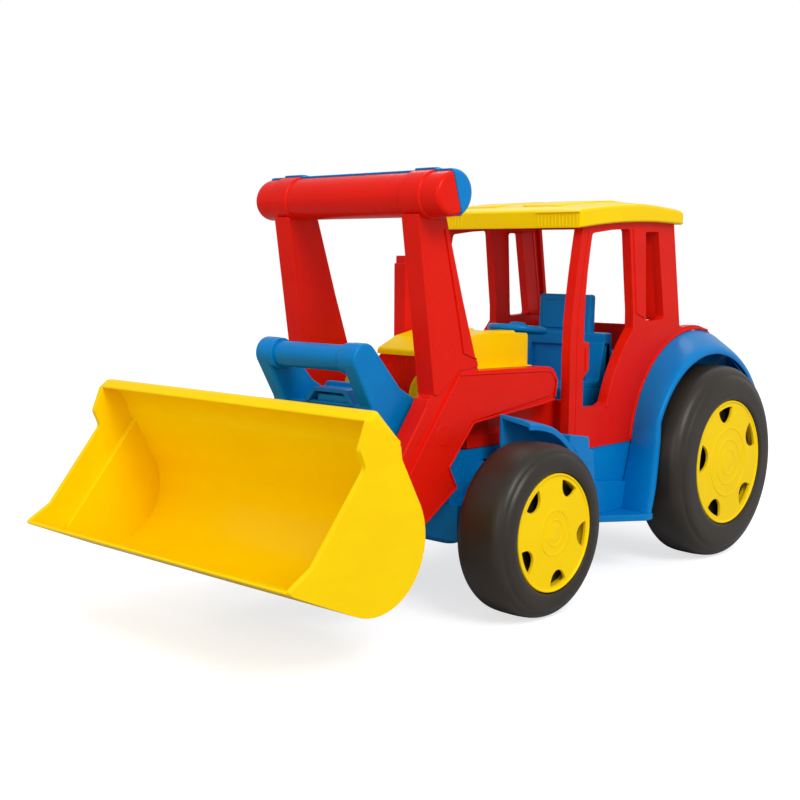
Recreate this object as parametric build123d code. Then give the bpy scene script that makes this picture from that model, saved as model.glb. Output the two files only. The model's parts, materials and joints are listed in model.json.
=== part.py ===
from build123d import *
import math
import os

# Toy tractor with a front loader. Millimetres.
# +X points forward (to the bucket), +Y to the tractor's left, +Z up.
# Origin: on the ground, under the middle of the whole toy.

# ---------------------------------------------------------------- driving sizes
# widths that the rest follows
CAB_HALF_W = 76.0
ARM_T = 13.7
ARM_SKIN = 1.5
LEVER_T = 13.0
TUB_HALF_W = CAB_HALF_W - 1.0
ARM_IN_Y = TUB_HALF_W - 2.2 - ARM_SKIN - ARM_T

# wheels and axles
FRONT_WHEEL_R = 62.5
REAR_WHEEL_R = 82.5
FRONT_AXLE_X = 44.0
REAR_AXLE_X = -217.5
FRONT_TYRE_IN_Y = CAB_HALF_W + 15.0
REAR_TYRE_IN_Y = CAB_HALF_W + 4.0
FRONT_TYRE_W = 43.0
REAR_TYRE_W = 45.0
FRONT_CAP_R = 42.5
REAR_CAP_R = 53.0
CAP_RECESS = 10.0
CAP_T = 3.0
CAP_INSET = 1.5
CAP_HOLES = 5
FRONT_HOLE_TURN = 45.5
REAR_HOLE_TURN = 11.0
TYRE_WALL = 4.0
AXLE_R = 4.0
NUT_R = 9.0
NUT_T = 4.0

# clearances
RUN_FIT = 0.06
SIDE_GAP = 0.5
MOVE_GAP = 1.0

# lower body
WALL = 3.5
TUB_BOTTOM = 46.0
TUB_TOP = 104.0
TUB_REAR_X = -262.0
TUB_FRONT_X = 35.0
NOSE_HALF_W = ARM_IN_Y - 1.6
NOSE_FRONT_X = 68.0
NOSE_TOP = 114.0
BUMPER_FRONT_X = 86.0
BUMPER_HALF_W = TUB_HALF_W + 3.0
BUMPER_Z0 = 54.0
BUMPER_Z1 = 80.0
RISER_REAR_X = 55.0
RISER_TOP = 150.0
RISER_HALF_W = NOSE_HALF_W - 6.0
ARM_REST_GAP = 0.4

# fenders
FENDER_Y = CAB_HALF_W + 31.0
FENDER_T = 3.5
ARCH_X = -236.0
ARCH_Z = 95.0
ARCH_R = 98.0
LIP_R = 97.0
FENDER_GAP = 1.2
STEP_TOP = 75.0
STEP_BOTTOM = 44.0
STEP_T = 5.0
LEDGE_D = 4.5
STEP_FRONT_X = -68.5
FRONT_FENDER_X1 = 35.0
FRONT_FENDER_X0 = -48.0
FRONT_FENDER_Y = CAB_HALF_W + 28.0
FRONT_FENDER_WALL = 2.5

# red body
CAB_T = 8.0
CAB_TOP = 278.0
NOSE_BODY_FRONT_X = 50.0
NOSE_BODY_TOP = 168.0
NOSE_BODY_HALF_W = ARM_IN_Y - 1.1
FIREWALL_X = -58.0
FIREWALL_TOP = 143.0
REAR_PANEL_TOP = 197.0
REAR_PANEL_X = -207.0
DECK_FRONT_Z = 198.0
DECK_REAR_Z = 192.0

# hood cover
HOOD_HALF_W = 35.0
HOOD_FRONT_X = 51.5
HOOD_REAR_X = -48.5
HOOD_TOP = 197.0
HOOD_T = 3.0
HOOD_FLANGE = 6.0

# roof
ROOF_HALF_W = CAB_HALF_W + 6.0
ROOF_FRONT_X = -52.5
ROOF_REAR_X = -204.5
ROOF_EDGE = 14.5
ROOF_RISE = 6.0
ROOF_BOW = 3.5
ROOF_CROWN = 4.5

# seat and steering
SEAT_FRONT_X = -96.0
SEAT_BACK_X = -144.0
SEAT_REAR_X = -203.0
SEAT_HALF_W = 45.5
SEAT_BACK_T = 9.0
SHELF_Z = 174.0
SEAT_CUSHION_Z = 150.0
SEAT_SHOULDER_Z = 192.0
HEADREST_HALF_W = 27.5
HEADREST_Z = 224.0
STEER_X = -80.0
STEER_Z = 196.0
STEER_R = 25.0
STEER_RIM_R = 3.2
STEER_TILT = 6.0
COLUMN_R = 5.0
SPINDLE_R = 3.0

# loader frame
LIFT_X = -27.0
LIFT_Z = 158.5
TILT_X = 160.0
TILT_Z = 62.0
PIN_R = 5.0
PIN_HEAD_R = 8.0
PIN_HEAD_T = 2.0
PIN_DEPTH = 10.0
BAR_X = 109.0
BAR_Z = 297.0
BAR_HALF_L = ARM_IN_Y + 34.9
BAR_DEPTH_R = 19.0
BAR_HEIGHT_R = 16.5
BAR_LEAN = 17.0
BAR_SPLIT = -3.0
BAR_WALL = 3.0

# tilt lever
LEVER_IN_Y = ARM_IN_Y - LEVER_T - 6.6
GRIP_X = 150.9
GRIP_Z = 185.2
GRIP_R = 9.2
GRIP_BOSS_R = 11.8

# bucket
BUCKET_HALF_W = 138.0
BUCKET_WALL = 4.0
BUCKET_CX = 229.5
BUCKET_CZ = 84.0
BUCKET_R = 43.0
TIP_X = 300.0
TIP_Z = 67.8
RIM_DEPTH = 17.0
RIM_STEP = 5.0

# small parts
LAMP_R = 20.0
LAMP_NECK_R = 15.5
LAMP_Y = 34.5
LAMP_Z = 152.0
LAMP_T = 18.0
STACK_X = 6.5
STACK_Y = -48.0
STACK_HALF = 6.5
STACK_TOP = 256.0
SCREW_HEAD_R = 3.8
SCREW_HEAD_T = 2.0
SCREW_SINK = 0.4
SCREW_SPOTS = [(x, y) for x in (-240, -150, -40, 20) for y in (-45, 45)]

os.makedirs("parts", exist_ok=True)


# ---------------------------------------------------------------- helpers
def side_plane(y):
    """A drawing plane at one Y, with local x along +X and local y along +Z."""
    return Plane(origin=(0, y, 0), x_dir=(1, 0, 0), z_dir=(0, -1, 0))


def side_slab(outline, y0, y1, radius=0.0):
    """A closed X-Z outline, its corners rounded, made solid from y0 to y1."""
    face = make_face(Polyline(*outline, close=True))
    if radius > 0:
        face = fillet(face.vertices(), radius)
    return extrude(side_plane(y0) * face, amount=-(y1 - y0))


def arc_points(cx, cz, r, a0, a1, count):
    """Points on a circle in X-Z, from angle a0 to a1 in degrees."""
    turns = [math.radians(a0 + (a1 - a0) * i / (count - 1)) for i in range(count)]
    return [(cx + r * math.cos(t), cz + r * math.sin(t)) for t in turns]


def block(x0, x1, y0, y1, z0, z1):
    """A box between two corners."""
    return Pos((x0 + x1) / 2, (y0 + y1) / 2, (z0 + z1) / 2) * Box(x1 - x0, y1 - y0, z1 - z0)


def rod_y(x, z, r, y0, y1):
    """A round bar along Y."""
    bar = Cylinder(r, y1 - y0, rotation=(90, 0, 0))
    return Pos(x, (y0 + y1) / 2, z) * bar


def ring_y(x, z, r_in, r_out, y0, y1):
    """A round sleeve along Y."""
    return rod_y(x, z, r_out, y0, y1) - rod_y(x, z, r_in, y0 - 1, y1 + 1)


def other_side(shape):
    """The same shape on the tractor's right."""
    return mirror(shape, about=Plane.XZ)


def save(name, *solids):
    """Write one node, as one solid or as a group of separate ones."""
    shapes = []
    for item in solids:
        shapes += list(item.solids())
    result = shapes[0] if len(shapes) == 1 else Compound(children=shapes)
    export_step(result, f"parts/{name}.step")


def save_pair(name, left):
    """Write the left piece and its mirror image."""
    save(name + "_left", left)
    save(name + "_right", other_side(left))


# ---------------------------------------------------------------- wheels
def spin_profile(points, axle_x, axle_z, rounds=()):
    """Turn an outline of (y, radius) points about an axle. rounds: (point, fillet radius)."""
    face = make_face(Polyline(*points, close=True))
    for (y, r), size in rounds:
        corner = face.vertices().sort_by_distance((y, r, 0))[0]
        face = fillet(corner, size)
    plane = Plane(origin=(axle_x, 0, axle_z), x_dir=(0, 1, 0), z_dir=(1, 0, 0))
    return revolve(plane * face, Axis((axle_x, 0, axle_z), (0, 1, 0)))


def tyre(axle_x, r, y_in, width, cap_r):
    """A hollow blown wheel: tread, shoulders, a recess for the hub cap and a bore for the axle."""
    y_out = y_in + width
    floor_y = y_out - CAP_RECESS
    bore = AXLE_R + RUN_FIT
    outline = [(y_in, bore), (y_in, r - 9), (y_in + 6, r), (y_out - 9, r), (y_out, r - 9),
               (y_out, cap_r + 0.3), (floor_y, cap_r + 0.3), (floor_y, bore)]
    rounds = [((y_in, r - 9), 4), ((y_in + 6, r), 6), ((y_out - 9, r), 8), ((y_out, r - 9), 5)]
    solid = spin_profile(outline, axle_x, r, rounds)
    hub_r = bore + 6
    shell = [(y_in + TYRE_WALL, hub_r), (y_in + TYRE_WALL, r - 13), (y_in + 9, r - TYRE_WALL),
             (y_out - 12, r - TYRE_WALL), (y_out - TYRE_WALL, r - 12),
             (y_out - TYRE_WALL, cap_r + 0.3 + TYRE_WALL), (floor_y - TYRE_WALL, cap_r + 0.3 + TYRE_WALL),
             (floor_y - TYRE_WALL, hub_r)]
    return solid - spin_profile(shell, axle_x, r)


def hub_cap(axle_x, r, y_in, width, cap_r, hole_turn):
    """A round cap with a skirt, a raised middle and holes near its rim."""
    face_y = y_in + width - CAP_INSET
    floor_y = y_in + width - CAP_RECESS
    disc = rod_y(axle_x, r, cap_r, face_y - CAP_T, face_y)
    skirt = ring_y(axle_x, r, cap_r - 3.5, cap_r, floor_y, face_y - CAP_T)
    cap = disc + skirt
    cap += ring_y(axle_x, r, cap_r - 2.5, cap_r, face_y, face_y + 1.0)
    cap += ring_y(axle_x, r, cap_r * 0.36, cap_r * 0.40, face_y, face_y + 0.8)
    cap += rod_y(axle_x, r, cap_r * 0.22, face_y, face_y + 0.8)
    corners = ((-14.0, 0.89), (0.0, 0.90), (14.0, 0.89), (12.0, 0.77), (0.0, 0.67), (-12.0, 0.77))
    for i in range(CAP_HOLES):
        hole = []
        for offset, share in corners:
            turn = math.radians(hole_turn + 360 * i / CAP_HOLES + offset)
            hole.append((axle_x + cap_r * share * math.cos(turn), r + cap_r * share * math.sin(turn)))
        cap -= side_slab(hole, face_y - CAP_T - 1, face_y + 2)
    return cap


def wheel_set(prefix, axle_x, r, y_in, width, cap_r, hole_turn):
    """Both wheels of an axle, the rod, and the two push nuts that hold them on."""
    save_pair(prefix + "_tyre", tyre(axle_x, r, y_in, width, cap_r))
    save_pair(prefix + "_hub_cap", hub_cap(axle_x, r, y_in, width, cap_r, hole_turn))
    floor_y = y_in + width - CAP_RECESS
    rod_end = floor_y + SIDE_GAP + NUT_T
    save(prefix + "_axle", rod_y(axle_x, r, AXLE_R, -rod_end, rod_end))
    return ring_y(axle_x, r, AXLE_R, NUT_R, floor_y + SIDE_GAP, rod_end)


# ---------------------------------------------------------------- lower body
def chassis_tub():
    """The open-topped blue tub: cab floor, narrow nose, front bumper and axle bosses."""
    solid = block(TUB_REAR_X, TUB_FRONT_X, -TUB_HALF_W, TUB_HALF_W, TUB_BOTTOM, TUB_TOP)
    nose = block(FIREWALL_X, NOSE_FRONT_X, -NOSE_HALF_W, NOSE_HALF_W, TUB_BOTTOM, NOSE_TOP)
    bumper = block(NOSE_FRONT_X - 20, BUMPER_FRONT_X, -BUMPER_HALF_W, BUMPER_HALF_W, BUMPER_Z0, BUMPER_Z1)
    riser = block(RISER_REAR_X, NOSE_FRONT_X, -RISER_HALF_W, RISER_HALF_W, NOSE_TOP - 1, RISER_TOP)
    rest_pad = block(78, 85, ARM_IN_Y + 2, ARM_IN_Y + ARM_T - 2, BUMPER_Z1 - 1, 87.2 - ARM_REST_GAP)
    tub = solid + nose
    tub = fillet(tub.edges().filter_by(Axis.Z), 6)
    hollow = block(TUB_REAR_X + WALL, TUB_FRONT_X - WALL, -TUB_HALF_W + WALL, TUB_HALF_W - WALL,
                   TUB_BOTTOM + WALL, TUB_TOP + 1)
    hollow += block(FIREWALL_X - 1, RISER_REAR_X - 1, -NOSE_HALF_W + WALL, NOSE_HALF_W - WALL,
                    TUB_BOTTOM + WALL, NOSE_TOP + 1)
    tub = tub - hollow
    bumper -= block(0, RISER_REAR_X - 1, -NOSE_HALF_W + WALL, NOSE_HALF_W - WALL, 0, NOSE_TOP)
    tub = tub + bumper + riser + rest_pad + other_side(rest_pad)
    for y in (1, -1):
        front_boss = ring_y(FRONT_AXLE_X, FRONT_WHEEL_R, AXLE_R, 9, NOSE_HALF_W - WALL,
                            FRONT_TYRE_IN_Y - SIDE_GAP)
        rear_boss = ring_y(REAR_AXLE_X, REAR_WHEEL_R, AXLE_R, 12, TUB_HALF_W - WALL,
                           REAR_TYRE_IN_Y - SIDE_GAP)
        for boss in (front_boss, rear_boss):
            tub += boss if y == 1 else other_side(boss)
    tub -= rod_y(FRONT_AXLE_X, FRONT_WHEEL_R, AXLE_R, -150, 150)
    tub -= rod_y(REAR_AXLE_X, REAR_WHEEL_R, AXLE_R, -150, 150)
    for x, y in SCREW_SPOTS:
        recess = Cylinder(SCREW_HEAD_R + 0.4, SCREW_HEAD_T + SCREW_SINK + 1,
                          align=(Align.CENTER, Align.CENTER, Align.MAX))
        tub -= Pos(x, y, TUB_BOTTOM + SCREW_HEAD_T + SCREW_SINK) * recess
    return tub


def front_fender():
    """A wall beside the loader arm with a curved lip over the back half of the front wheel."""
    cx = FRONT_AXLE_X + 14
    cz = 32.0
    lip_r = 111.5
    a1 = math.degrees(math.acos((FRONT_FENDER_X1 - cx) / lip_r))
    a0 = math.degrees(math.acos((FRONT_FENDER_X0 - cx) / lip_r))
    wall_in = TUB_HALF_W
    wall_out = TUB_HALF_W + FRONT_FENDER_WALL
    top = arc_points(cx, cz, lip_r, a1, a0, 13)
    under = arc_points(cx, cz, lip_r - FENDER_T, a0, a1, 13)
    lip = side_slab(top + under, wall_in, FRONT_FENDER_Y)
    low = TUB_TOP - 30
    wall = side_slab(under[::-1] + [(FRONT_FENDER_X0, low), (FRONT_FENDER_X1, low)], wall_in, wall_out)
    return lip + wall


def rear_fender():
    """The flared arch over the rear wheel, its inner wall, and the step in front of it."""
    inner_y = CAB_HALF_W
    count = 15
    near_foot = [(-121, STEP_BOTTOM), (-127, 68), (-134, 90)]
    far_foot = [(-118, STEP_BOTTOM), (-125, 68), (-129.8, 108)]
    near_out = near_foot + arc_points(ARCH_X, ARCH_Z, ARCH_R, 5.5, 128.0, count)
    near_in = [(x - FENDER_T, z) for x, z in near_foot]
    near_in += arc_points(ARCH_X, ARCH_Z, ARCH_R - FENDER_T, 5.5, 128.0, count)
    far_out = far_foot + arc_points(REAR_AXLE_X, REAR_WHEEL_R, LIP_R, 26.0, 146.0, count)
    far_in = [(x - FENDER_T, z) for x, z in far_foot]
    far_in += arc_points(REAR_AXLE_X, REAR_WHEEL_R, LIP_R - FENDER_T, 26.0, 146.0, count)
    near = side_plane(inner_y) * make_face(Polyline(*(near_out + near_in[::-1]), close=True))
    far = side_plane(FENDER_Y) * make_face(Polyline(*(far_out + far_in[::-1]), close=True))
    arch = loft([near.face(), far.face()], ruled=True)
    wall_out = arc_points(ARCH_X, ARCH_Z, ARCH_R - 0.5, 0.0, 128.0, 24)
    end_x = wall_out[-1][0]
    wall = side_slab(wall_out + [(end_x, TUB_TOP + 0.02), (ARCH_X, ARCH_Z)], inner_y - 4.0, inner_y)
    wall &= block(end_x - 1, 0, 0, 200, TUB_TOP + 0.02, 300)
    plan = make_face(Polyline((STEP_FRONT_X, TUB_HALF_W), (-84, TUB_HALF_W + 10.6), (-116, FENDER_Y), (-125, FENDER_Y),
                              (-125, TUB_HALF_W), close=True))
    step = extrude(Pos(0, 0, STEP_BOTTOM) * plan, amount=STEP_T)
    step += block(-128, STEP_FRONT_X, TUB_HALF_W, TUB_HALF_W + LEDGE_D, STEP_BOTTOM, STEP_TOP)
    fender = arch + wall + step
    return fender - rod_y(REAR_AXLE_X, REAR_WHEEL_R, REAR_WHEEL_R + FENDER_GAP, REAR_TYRE_IN_Y - 1, 200)


# ---------------------------------------------------------------- red body
def nose_body():
    """The red box under the hood, with its ribbed grille and the low wall in front of the cab."""
    box = block(FIREWALL_X, NOSE_BODY_FRONT_X, -NOSE_BODY_HALF_W, NOSE_BODY_HALF_W,
                NOSE_TOP + 0.02, NOSE_BODY_TOP)
    box = fillet(box.edges().filter_by(Axis.X).group_by(Axis.Z)[-1], 5)
    box -= block(FIREWALL_X - 1, NOSE_BODY_FRONT_X - WALL, -NOSE_BODY_HALF_W + WALL,
                 NOSE_BODY_HALF_W - WALL, 0, NOSE_BODY_TOP - WALL)
    collar = block(HOOD_REAR_X + HOOD_T + 0.5, HOOD_FRONT_X - HOOD_T - 4.5, -HOOD_HALF_W + HOOD_T + 0.5,
                   HOOD_HALF_W - HOOD_T - 0.5, NOSE_BODY_TOP - 1, NOSE_BODY_TOP + 10)
    collar -= block(HOOD_REAR_X + 8, HOOD_FRONT_X - 12, -HOOD_HALF_W + 8, HOOD_HALF_W - 8, 0, 300)
    firewall = block(FIREWALL_X - 6, FIREWALL_X, -CAB_HALF_W + CAB_T, CAB_HALF_W - CAB_T,
                     TUB_TOP + 0.02, FIREWALL_TOP)
    body = box + collar + firewall
    for y in (-40.0, -34.5, -2.5, 2.5, 34.5, 40.0):
        body += block(NOSE_BODY_FRONT_X - 1, NOSE_BODY_FRONT_X + 1.5, y - 1.5, y + 1.5,
                      NOSE_TOP + 4, NOSE_BODY_TOP - 3)
    bore = rod_y(LIFT_X, LIFT_Z, PIN_R, NOSE_BODY_HALF_W - 10, NOSE_BODY_HALF_W + 1)
    boss = ring_y(LIFT_X, LIFT_Z, PIN_R, PIN_R + 4, NOSE_BODY_HALF_W - 10, NOSE_BODY_HALF_W - 1)
    return body + boss + other_side(boss) - bore - other_side(bore)


def cab_side():
    """One moulded cab side: front post, door opening, slotted rear post and arch panel."""
    y0 = CAB_HALF_W - CAB_T
    y1 = CAB_HALF_W
    arch = arc_points(ARCH_X, ARCH_Z, ARCH_R, 5.5, 105.0, 15)
    outline = [(-49, TUB_TOP + 0.02), (-49.5, 190), (-53, 222), (-62, 290), (-196, 290), (-211, 199)]
    outline += [(REAR_PANEL_X - 5, DECK_FRONT_Z), (TUB_REAR_X, DECK_REAR_Z)] + arch[::-1]
    panel = side_slab(outline, y0, y1)
    sill = arc_points(ARCH_X, ARCH_Z, 143.0, 18.0, 46.0, 7)
    door = [(-67, 137.2), (-67.5, 222), (-76, 276), (-102, 279), (-127, 280), (-133, 213)]
    door += sill[::-1] + [(-92.5, 136.7)]
    slot = [(-152, 278), (-172, 279), (-184, 206), (-156, 204)]
    for opening in (door, slot):
        panel -= side_slab(opening, y0 - 1, y1 + 1)
    return panel - above_roof_line()


def roof_line(x):
    """Height of the roof's underside at x: it rises to the rear and bows up in the middle."""
    share = (ROOF_FRONT_X - x) / (ROOF_FRONT_X - ROOF_REAR_X)
    return CAB_TOP + ROOF_RISE * share + ROOF_BOW * 4 * share * (1 - share)


def above_roof_line():
    """Everything above the roof's underside."""
    count = 9
    step = (ROOF_FRONT_X - ROOF_REAR_X) / (count - 1)
    line = [(ROOF_FRONT_X - step * i, roof_line(ROOF_FRONT_X - step * i)) for i in range(count)]
    rear_x = TUB_REAR_X
    line += [(rear_x, line[-1][1]), (rear_x, 400), (0, 400), (0, line[0][1])]
    return side_slab(line, -200, 200)


def rear_body():
    """The wall behind the seat with its window frame, and the closed deck behind the cab."""
    inside = CAB_HALF_W - CAB_T
    base = TUB_TOP + 0.02
    low = block(REAR_PANEL_X - 5, REAR_PANEL_X, -inside, inside, base, REAR_PANEL_TOP)
    frame = side_slab([(REAR_PANEL_X - 5, REAR_PANEL_TOP), (REAR_PANEL_X, REAR_PANEL_TOP), (-193, 290),
                       (-198, 290)], -inside, inside)
    window = block(-260, -150, -inside + 3, inside - 3, REAR_PANEL_TOP + 4, CAB_TOP + 3)
    tail = block(TUB_REAR_X, TUB_REAR_X + WALL, -inside, inside, base, DECK_REAR_Z - 1)
    deck = side_slab([(REAR_PANEL_X - 4, DECK_FRONT_Z), (TUB_REAR_X, DECK_REAR_Z),
                      (TUB_REAR_X, DECK_REAR_Z - WALL), (REAR_PANEL_X - 4, DECK_FRONT_Z - WALL)],
                     -inside, inside)
    return low + frame + tail + deck - window - above_roof_line()


# ---------------------------------------------------------------- yellow tops
def hood_cover():
    """The hood: sloping front, flat top, and a thin flange that sits on the nose body."""
    base = NOSE_BODY_TOP
    profile = [(HOOD_REAR_X, base), (HOOD_REAR_X, HOOD_TOP - 2), (12, HOOD_TOP), (31, HOOD_TOP - 3.5),
               (HOOD_FRONT_X, 184), (HOOD_FRONT_X, base)]
    inner = [(HOOD_REAR_X + HOOD_T, base - 1), (HOOD_REAR_X + HOOD_T, HOOD_TOP - 2 - HOOD_T),
             (12, HOOD_TOP - HOOD_T), (30, HOOD_TOP - 3.5 - HOOD_T), (HOOD_FRONT_X - HOOD_T, 181.5),
             (HOOD_FRONT_X - HOOD_T, base - 1)]
    solid = side_slab(profile, -HOOD_HALF_W, HOOD_HALF_W)
    solid = fillet(solid.edges().filter_by(Axis.Z), 3)
    flange = block(HOOD_REAR_X, NOSE_BODY_FRONT_X - 6, -HOOD_HALF_W - HOOD_FLANGE,
                   HOOD_HALF_W + HOOD_FLANGE, base, base + 2.5)
    solid += flange
    return solid - side_slab(inner, -HOOD_HALF_W + HOOD_T, HOOD_HALF_W - HOOD_T)


def roof():
    """The crowned roof slab: a flat rim all round, a raised middle, hollow below."""
    rim_top = [(ROOF_FRONT_X, CAB_TOP - 5), (ROOF_FRONT_X, CAB_TOP + ROOF_EDGE)]
    for i in range(1, 8):
        x = ROOF_FRONT_X + (ROOF_REAR_X - ROOF_FRONT_X) * i / 8
        rim_top.append((x, roof_line(x) + ROOF_EDGE))
    rim_top += [(ROOF_REAR_X, roof_line(ROOF_REAR_X) + ROOF_EDGE - 3), (ROOF_REAR_X, CAB_TOP - 5)]
    slab = side_slab(rim_top, -ROOF_HALF_W, ROOF_HALF_W)
    slab = fillet(slab.edges().filter_by(Axis.Z), 6)
    inset = 15.0
    mid_x = (ROOF_FRONT_X + ROOF_REAR_X) / 2
    top_z = roof_line(mid_x) + ROOF_EDGE + ROOF_CROWN - 3
    crown = [(ROOF_FRONT_X - inset, CAB_TOP + 9), (ROOF_FRONT_X - inset - 6, top_z - 4), (mid_x, top_z),
             (ROOF_REAR_X + inset + 6, top_z - 2), (ROOF_REAR_X + inset, CAB_TOP + 9)]
    slab += side_slab(crown, -ROOF_HALF_W + inset, ROOF_HALF_W - inset)
    slab &= above_roof_line()
    inside = CAB_HALF_W - CAB_T
    hollow = [(-65, CAB_TOP - 9), (-65, CAB_TOP + 8), (mid_x, CAB_TOP + 16), (-190, CAB_TOP + 14),
              (-190, CAB_TOP - 9)]
    return slab - side_slab(hollow, -inside, inside)


# ---------------------------------------------------------------- cab interior
def seat():
    """The moulded seat: base, cushion, wide back and narrower headrest."""
    floor = TUB_BOTTOM + WALL
    outline = [(SEAT_FRONT_X, floor), (SEAT_FRONT_X, SEAT_CUSHION_Z), (SEAT_BACK_X + 3, SEAT_CUSHION_Z - 4),
               (SEAT_BACK_X, SEAT_SHOULDER_Z), (SEAT_BACK_X - SEAT_BACK_T, SEAT_SHOULDER_Z),
               (SEAT_BACK_X - SEAT_BACK_T, SHELF_Z), (SEAT_REAR_X, SHELF_Z), (SEAT_REAR_X, floor)]
    base = side_slab(outline, -SEAT_HALF_W, SEAT_HALF_W)
    base = fillet(base.edges().filter_by(Axis.Y).group_by(Axis.Z)[-1], 3)
    head = [(SEAT_BACK_X, SEAT_SHOULDER_Z - 2), (SEAT_BACK_X - 3, HEADREST_Z),
            (SEAT_BACK_X - SEAT_BACK_T - 1, HEADREST_Z), (SEAT_BACK_X - SEAT_BACK_T, SEAT_SHOULDER_Z - 2)]
    headrest = side_slab(head, -HEADREST_HALF_W, HEADREST_HALF_W)
    hollow = [(SEAT_FRONT_X - WALL, floor - 1), (SEAT_FRONT_X - WALL, SEAT_CUSHION_Z - WALL),
              (SEAT_BACK_X + 3, SEAT_CUSHION_Z - 4 - WALL), (SEAT_REAR_X + WALL, SEAT_CUSHION_Z - 4 - WALL),
              (SEAT_REAR_X + WALL, floor - 1)]
    return base + headrest - side_slab(hollow, -SEAT_HALF_W + WALL, SEAT_HALF_W - WALL)


STEER_FRAME = Plane(origin=(STEER_X, 0, STEER_Z), x_dir=(0, 1, 0),
                    z_dir=(-math.sin(math.radians(STEER_TILT)), 0, math.cos(math.radians(STEER_TILT))))


def steering_column():
    """A sloping post from the low cab wall, with the spindle that the wheel turns on."""
    post = extrude(STEER_FRAME.offset(-44.0) * Circle(COLUMN_R), amount=37.0)
    spindle = extrude(STEER_FRAME.offset(-8.0) * Circle(SPINDLE_R), amount=10.0)
    foot = block(FIREWALL_X - 20, FIREWALL_X, -10, 10, FIREWALL_TOP + 0.02, FIREWALL_TOP + 11)
    brace = block(FIREWALL_X - 20, FIREWALL_X - 6.02, -10, 10, FIREWALL_TOP - 18, FIREWALL_TOP + 1)
    return post + spindle + foot + brace


def steering_wheel():
    """Rim, three spokes and a blind-bored hub."""
    rim = STEER_FRAME * Torus(STEER_R - STEER_RIM_R, STEER_RIM_R)
    hub = extrude(STEER_FRAME.offset(-6.5) * Circle(7.5), amount=12.5)
    wheel = rim + hub
    for turn in (90, 210, 330):
        angle = math.radians(turn)
        reach = STEER_R - STEER_RIM_R
        spoke = Rectangle(reach, 5.0)
        centre = Location((reach / 2 * math.cos(angle), reach / 2 * math.sin(angle), 0), (0, 0, turn))
        wheel += extrude(STEER_FRAME.offset(-2.0) * (centre * spoke), amount=4.0)
    return wheel - extrude(STEER_FRAME.offset(-7.0) * Circle(SPINDLE_R + RUN_FIT), amount=9.6)


# ---------------------------------------------------------------- loader frame
def arm_outline():
    """Side outline of one loader arm with its mast and front leg."""
    lift_end = arc_points(LIFT_X, LIFT_Z, 13.8, 88, 255, 9)
    foot_end = arc_points(TILT_X, TILT_Z, 16.5, -122, 37, 9)
    return ([(91.5, 284), (56.4, 173.6)] + lift_end
            + [(54, 137), (62.7, 135.7), (88, 107.7), (79.2, 90.9)] + foot_end
            + [(113.5, 151), (110.5, 157.5), (104.8, 157.5), (124.5, 284)])


def loader_arm():
    """One arm: a thick plate, proud skin on the arm and leg, blind holes for both pins."""
    y0 = ARM_IN_Y
    y1 = ARM_IN_Y + ARM_T
    arm = side_slab(arm_outline(), y0, y1)
    skin = [(78.6, 172.2), (-24, 171.2)] + arc_points(LIFT_X, LIFT_Z, 12.5, 95, 250, 7)
    skin += [(54, 138.6), (63.4, 137.2), (90.3, 107.6), (81.5, 91.4), (113, 71.5), (143, 55), (166, 60)]
    arm += side_slab(skin, y1 - 0.5, y1 + ARM_SKIN)
    arm -= push_bar_body()
    arm += rod_y(TILT_X, TILT_Z, PIN_R + 4, LEVER_IN_Y + LEVER_T + SIDE_GAP, y0 + 1)
    arm -= rod_y(LIFT_X, LIFT_Z, PIN_R + RUN_FIT, y0 - 1, y0 + PIN_DEPTH + SIDE_GAP)
    arm -= rod_y(TILT_X, TILT_Z, PIN_R, LEVER_IN_Y, y0 + PIN_DEPTH)
    return arm


def bar_section(depth, height):
    """The push bar's oval section, leaning with the masts."""
    plane = Plane(origin=(BAR_X, -BAR_HALF_L, BAR_Z), x_dir=(1, 0, 0), z_dir=(0, -1, 0))
    return plane * (Rot(0, 0, -BAR_LEAN) * Ellipse(depth, height))


def push_bar_body():
    """The whole push bar as one oval bar."""
    return extrude(bar_section(BAR_DEPTH_R, BAR_HEIGHT_R), amount=-2 * BAR_HALF_L)


def rear_half():
    """A large block behind the push bar's split line."""
    turn = Location((BAR_X, 0, BAR_Z), (0, BAR_LEAN, 0))
    return turn * Pos(BAR_SPLIT - 50, 0, 0) * Box(100, 4 * BAR_HALF_L, 200)


def push_bar_halves():
    """The red front half and the blue rear half, each a shell with closed ends."""
    bar = push_bar_body()
    bar = fillet(bar.edges().filter_by(GeomType.ELLIPSE), 3)
    core = extrude(bar_section(BAR_DEPTH_R - BAR_WALL, BAR_HEIGHT_R - BAR_WALL), amount=-2 * BAR_HALF_L)
    core &= block(0, 300, -BAR_HALF_L + 4, BAR_HALF_L - 4, 200, 400)
    bar = bar - core
    for y in (-45, 0, 45):
        rib = block(BAR_X - 30, BAR_X + 30, y - 2, y + 2, BAR_Z - 30, BAR_Z + 30)
        bar += rib & push_bar_body()
    cut = rear_half()
    return bar - cut, bar & cut


def lift_pin():
    """Pin at the rear end of the left arm: fixed in the nose body, the arm turns on it."""
    return rod_y(LIFT_X, LIFT_Z, PIN_R, NOSE_BODY_HALF_W - 10, ARM_IN_Y + PIN_DEPTH)


def tilt_pin():
    """Pin at the front end of the left arm: fixed in the arm, the lever plate turns on it."""
    pin = rod_y(TILT_X, TILT_Z, PIN_R, LEVER_IN_Y - SIDE_GAP, ARM_IN_Y + PIN_DEPTH)
    head_y = LEVER_IN_Y - SIDE_GAP
    return pin + rod_y(TILT_X, TILT_Z, PIN_HEAD_R, head_y - PIN_HEAD_T, head_y)


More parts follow.
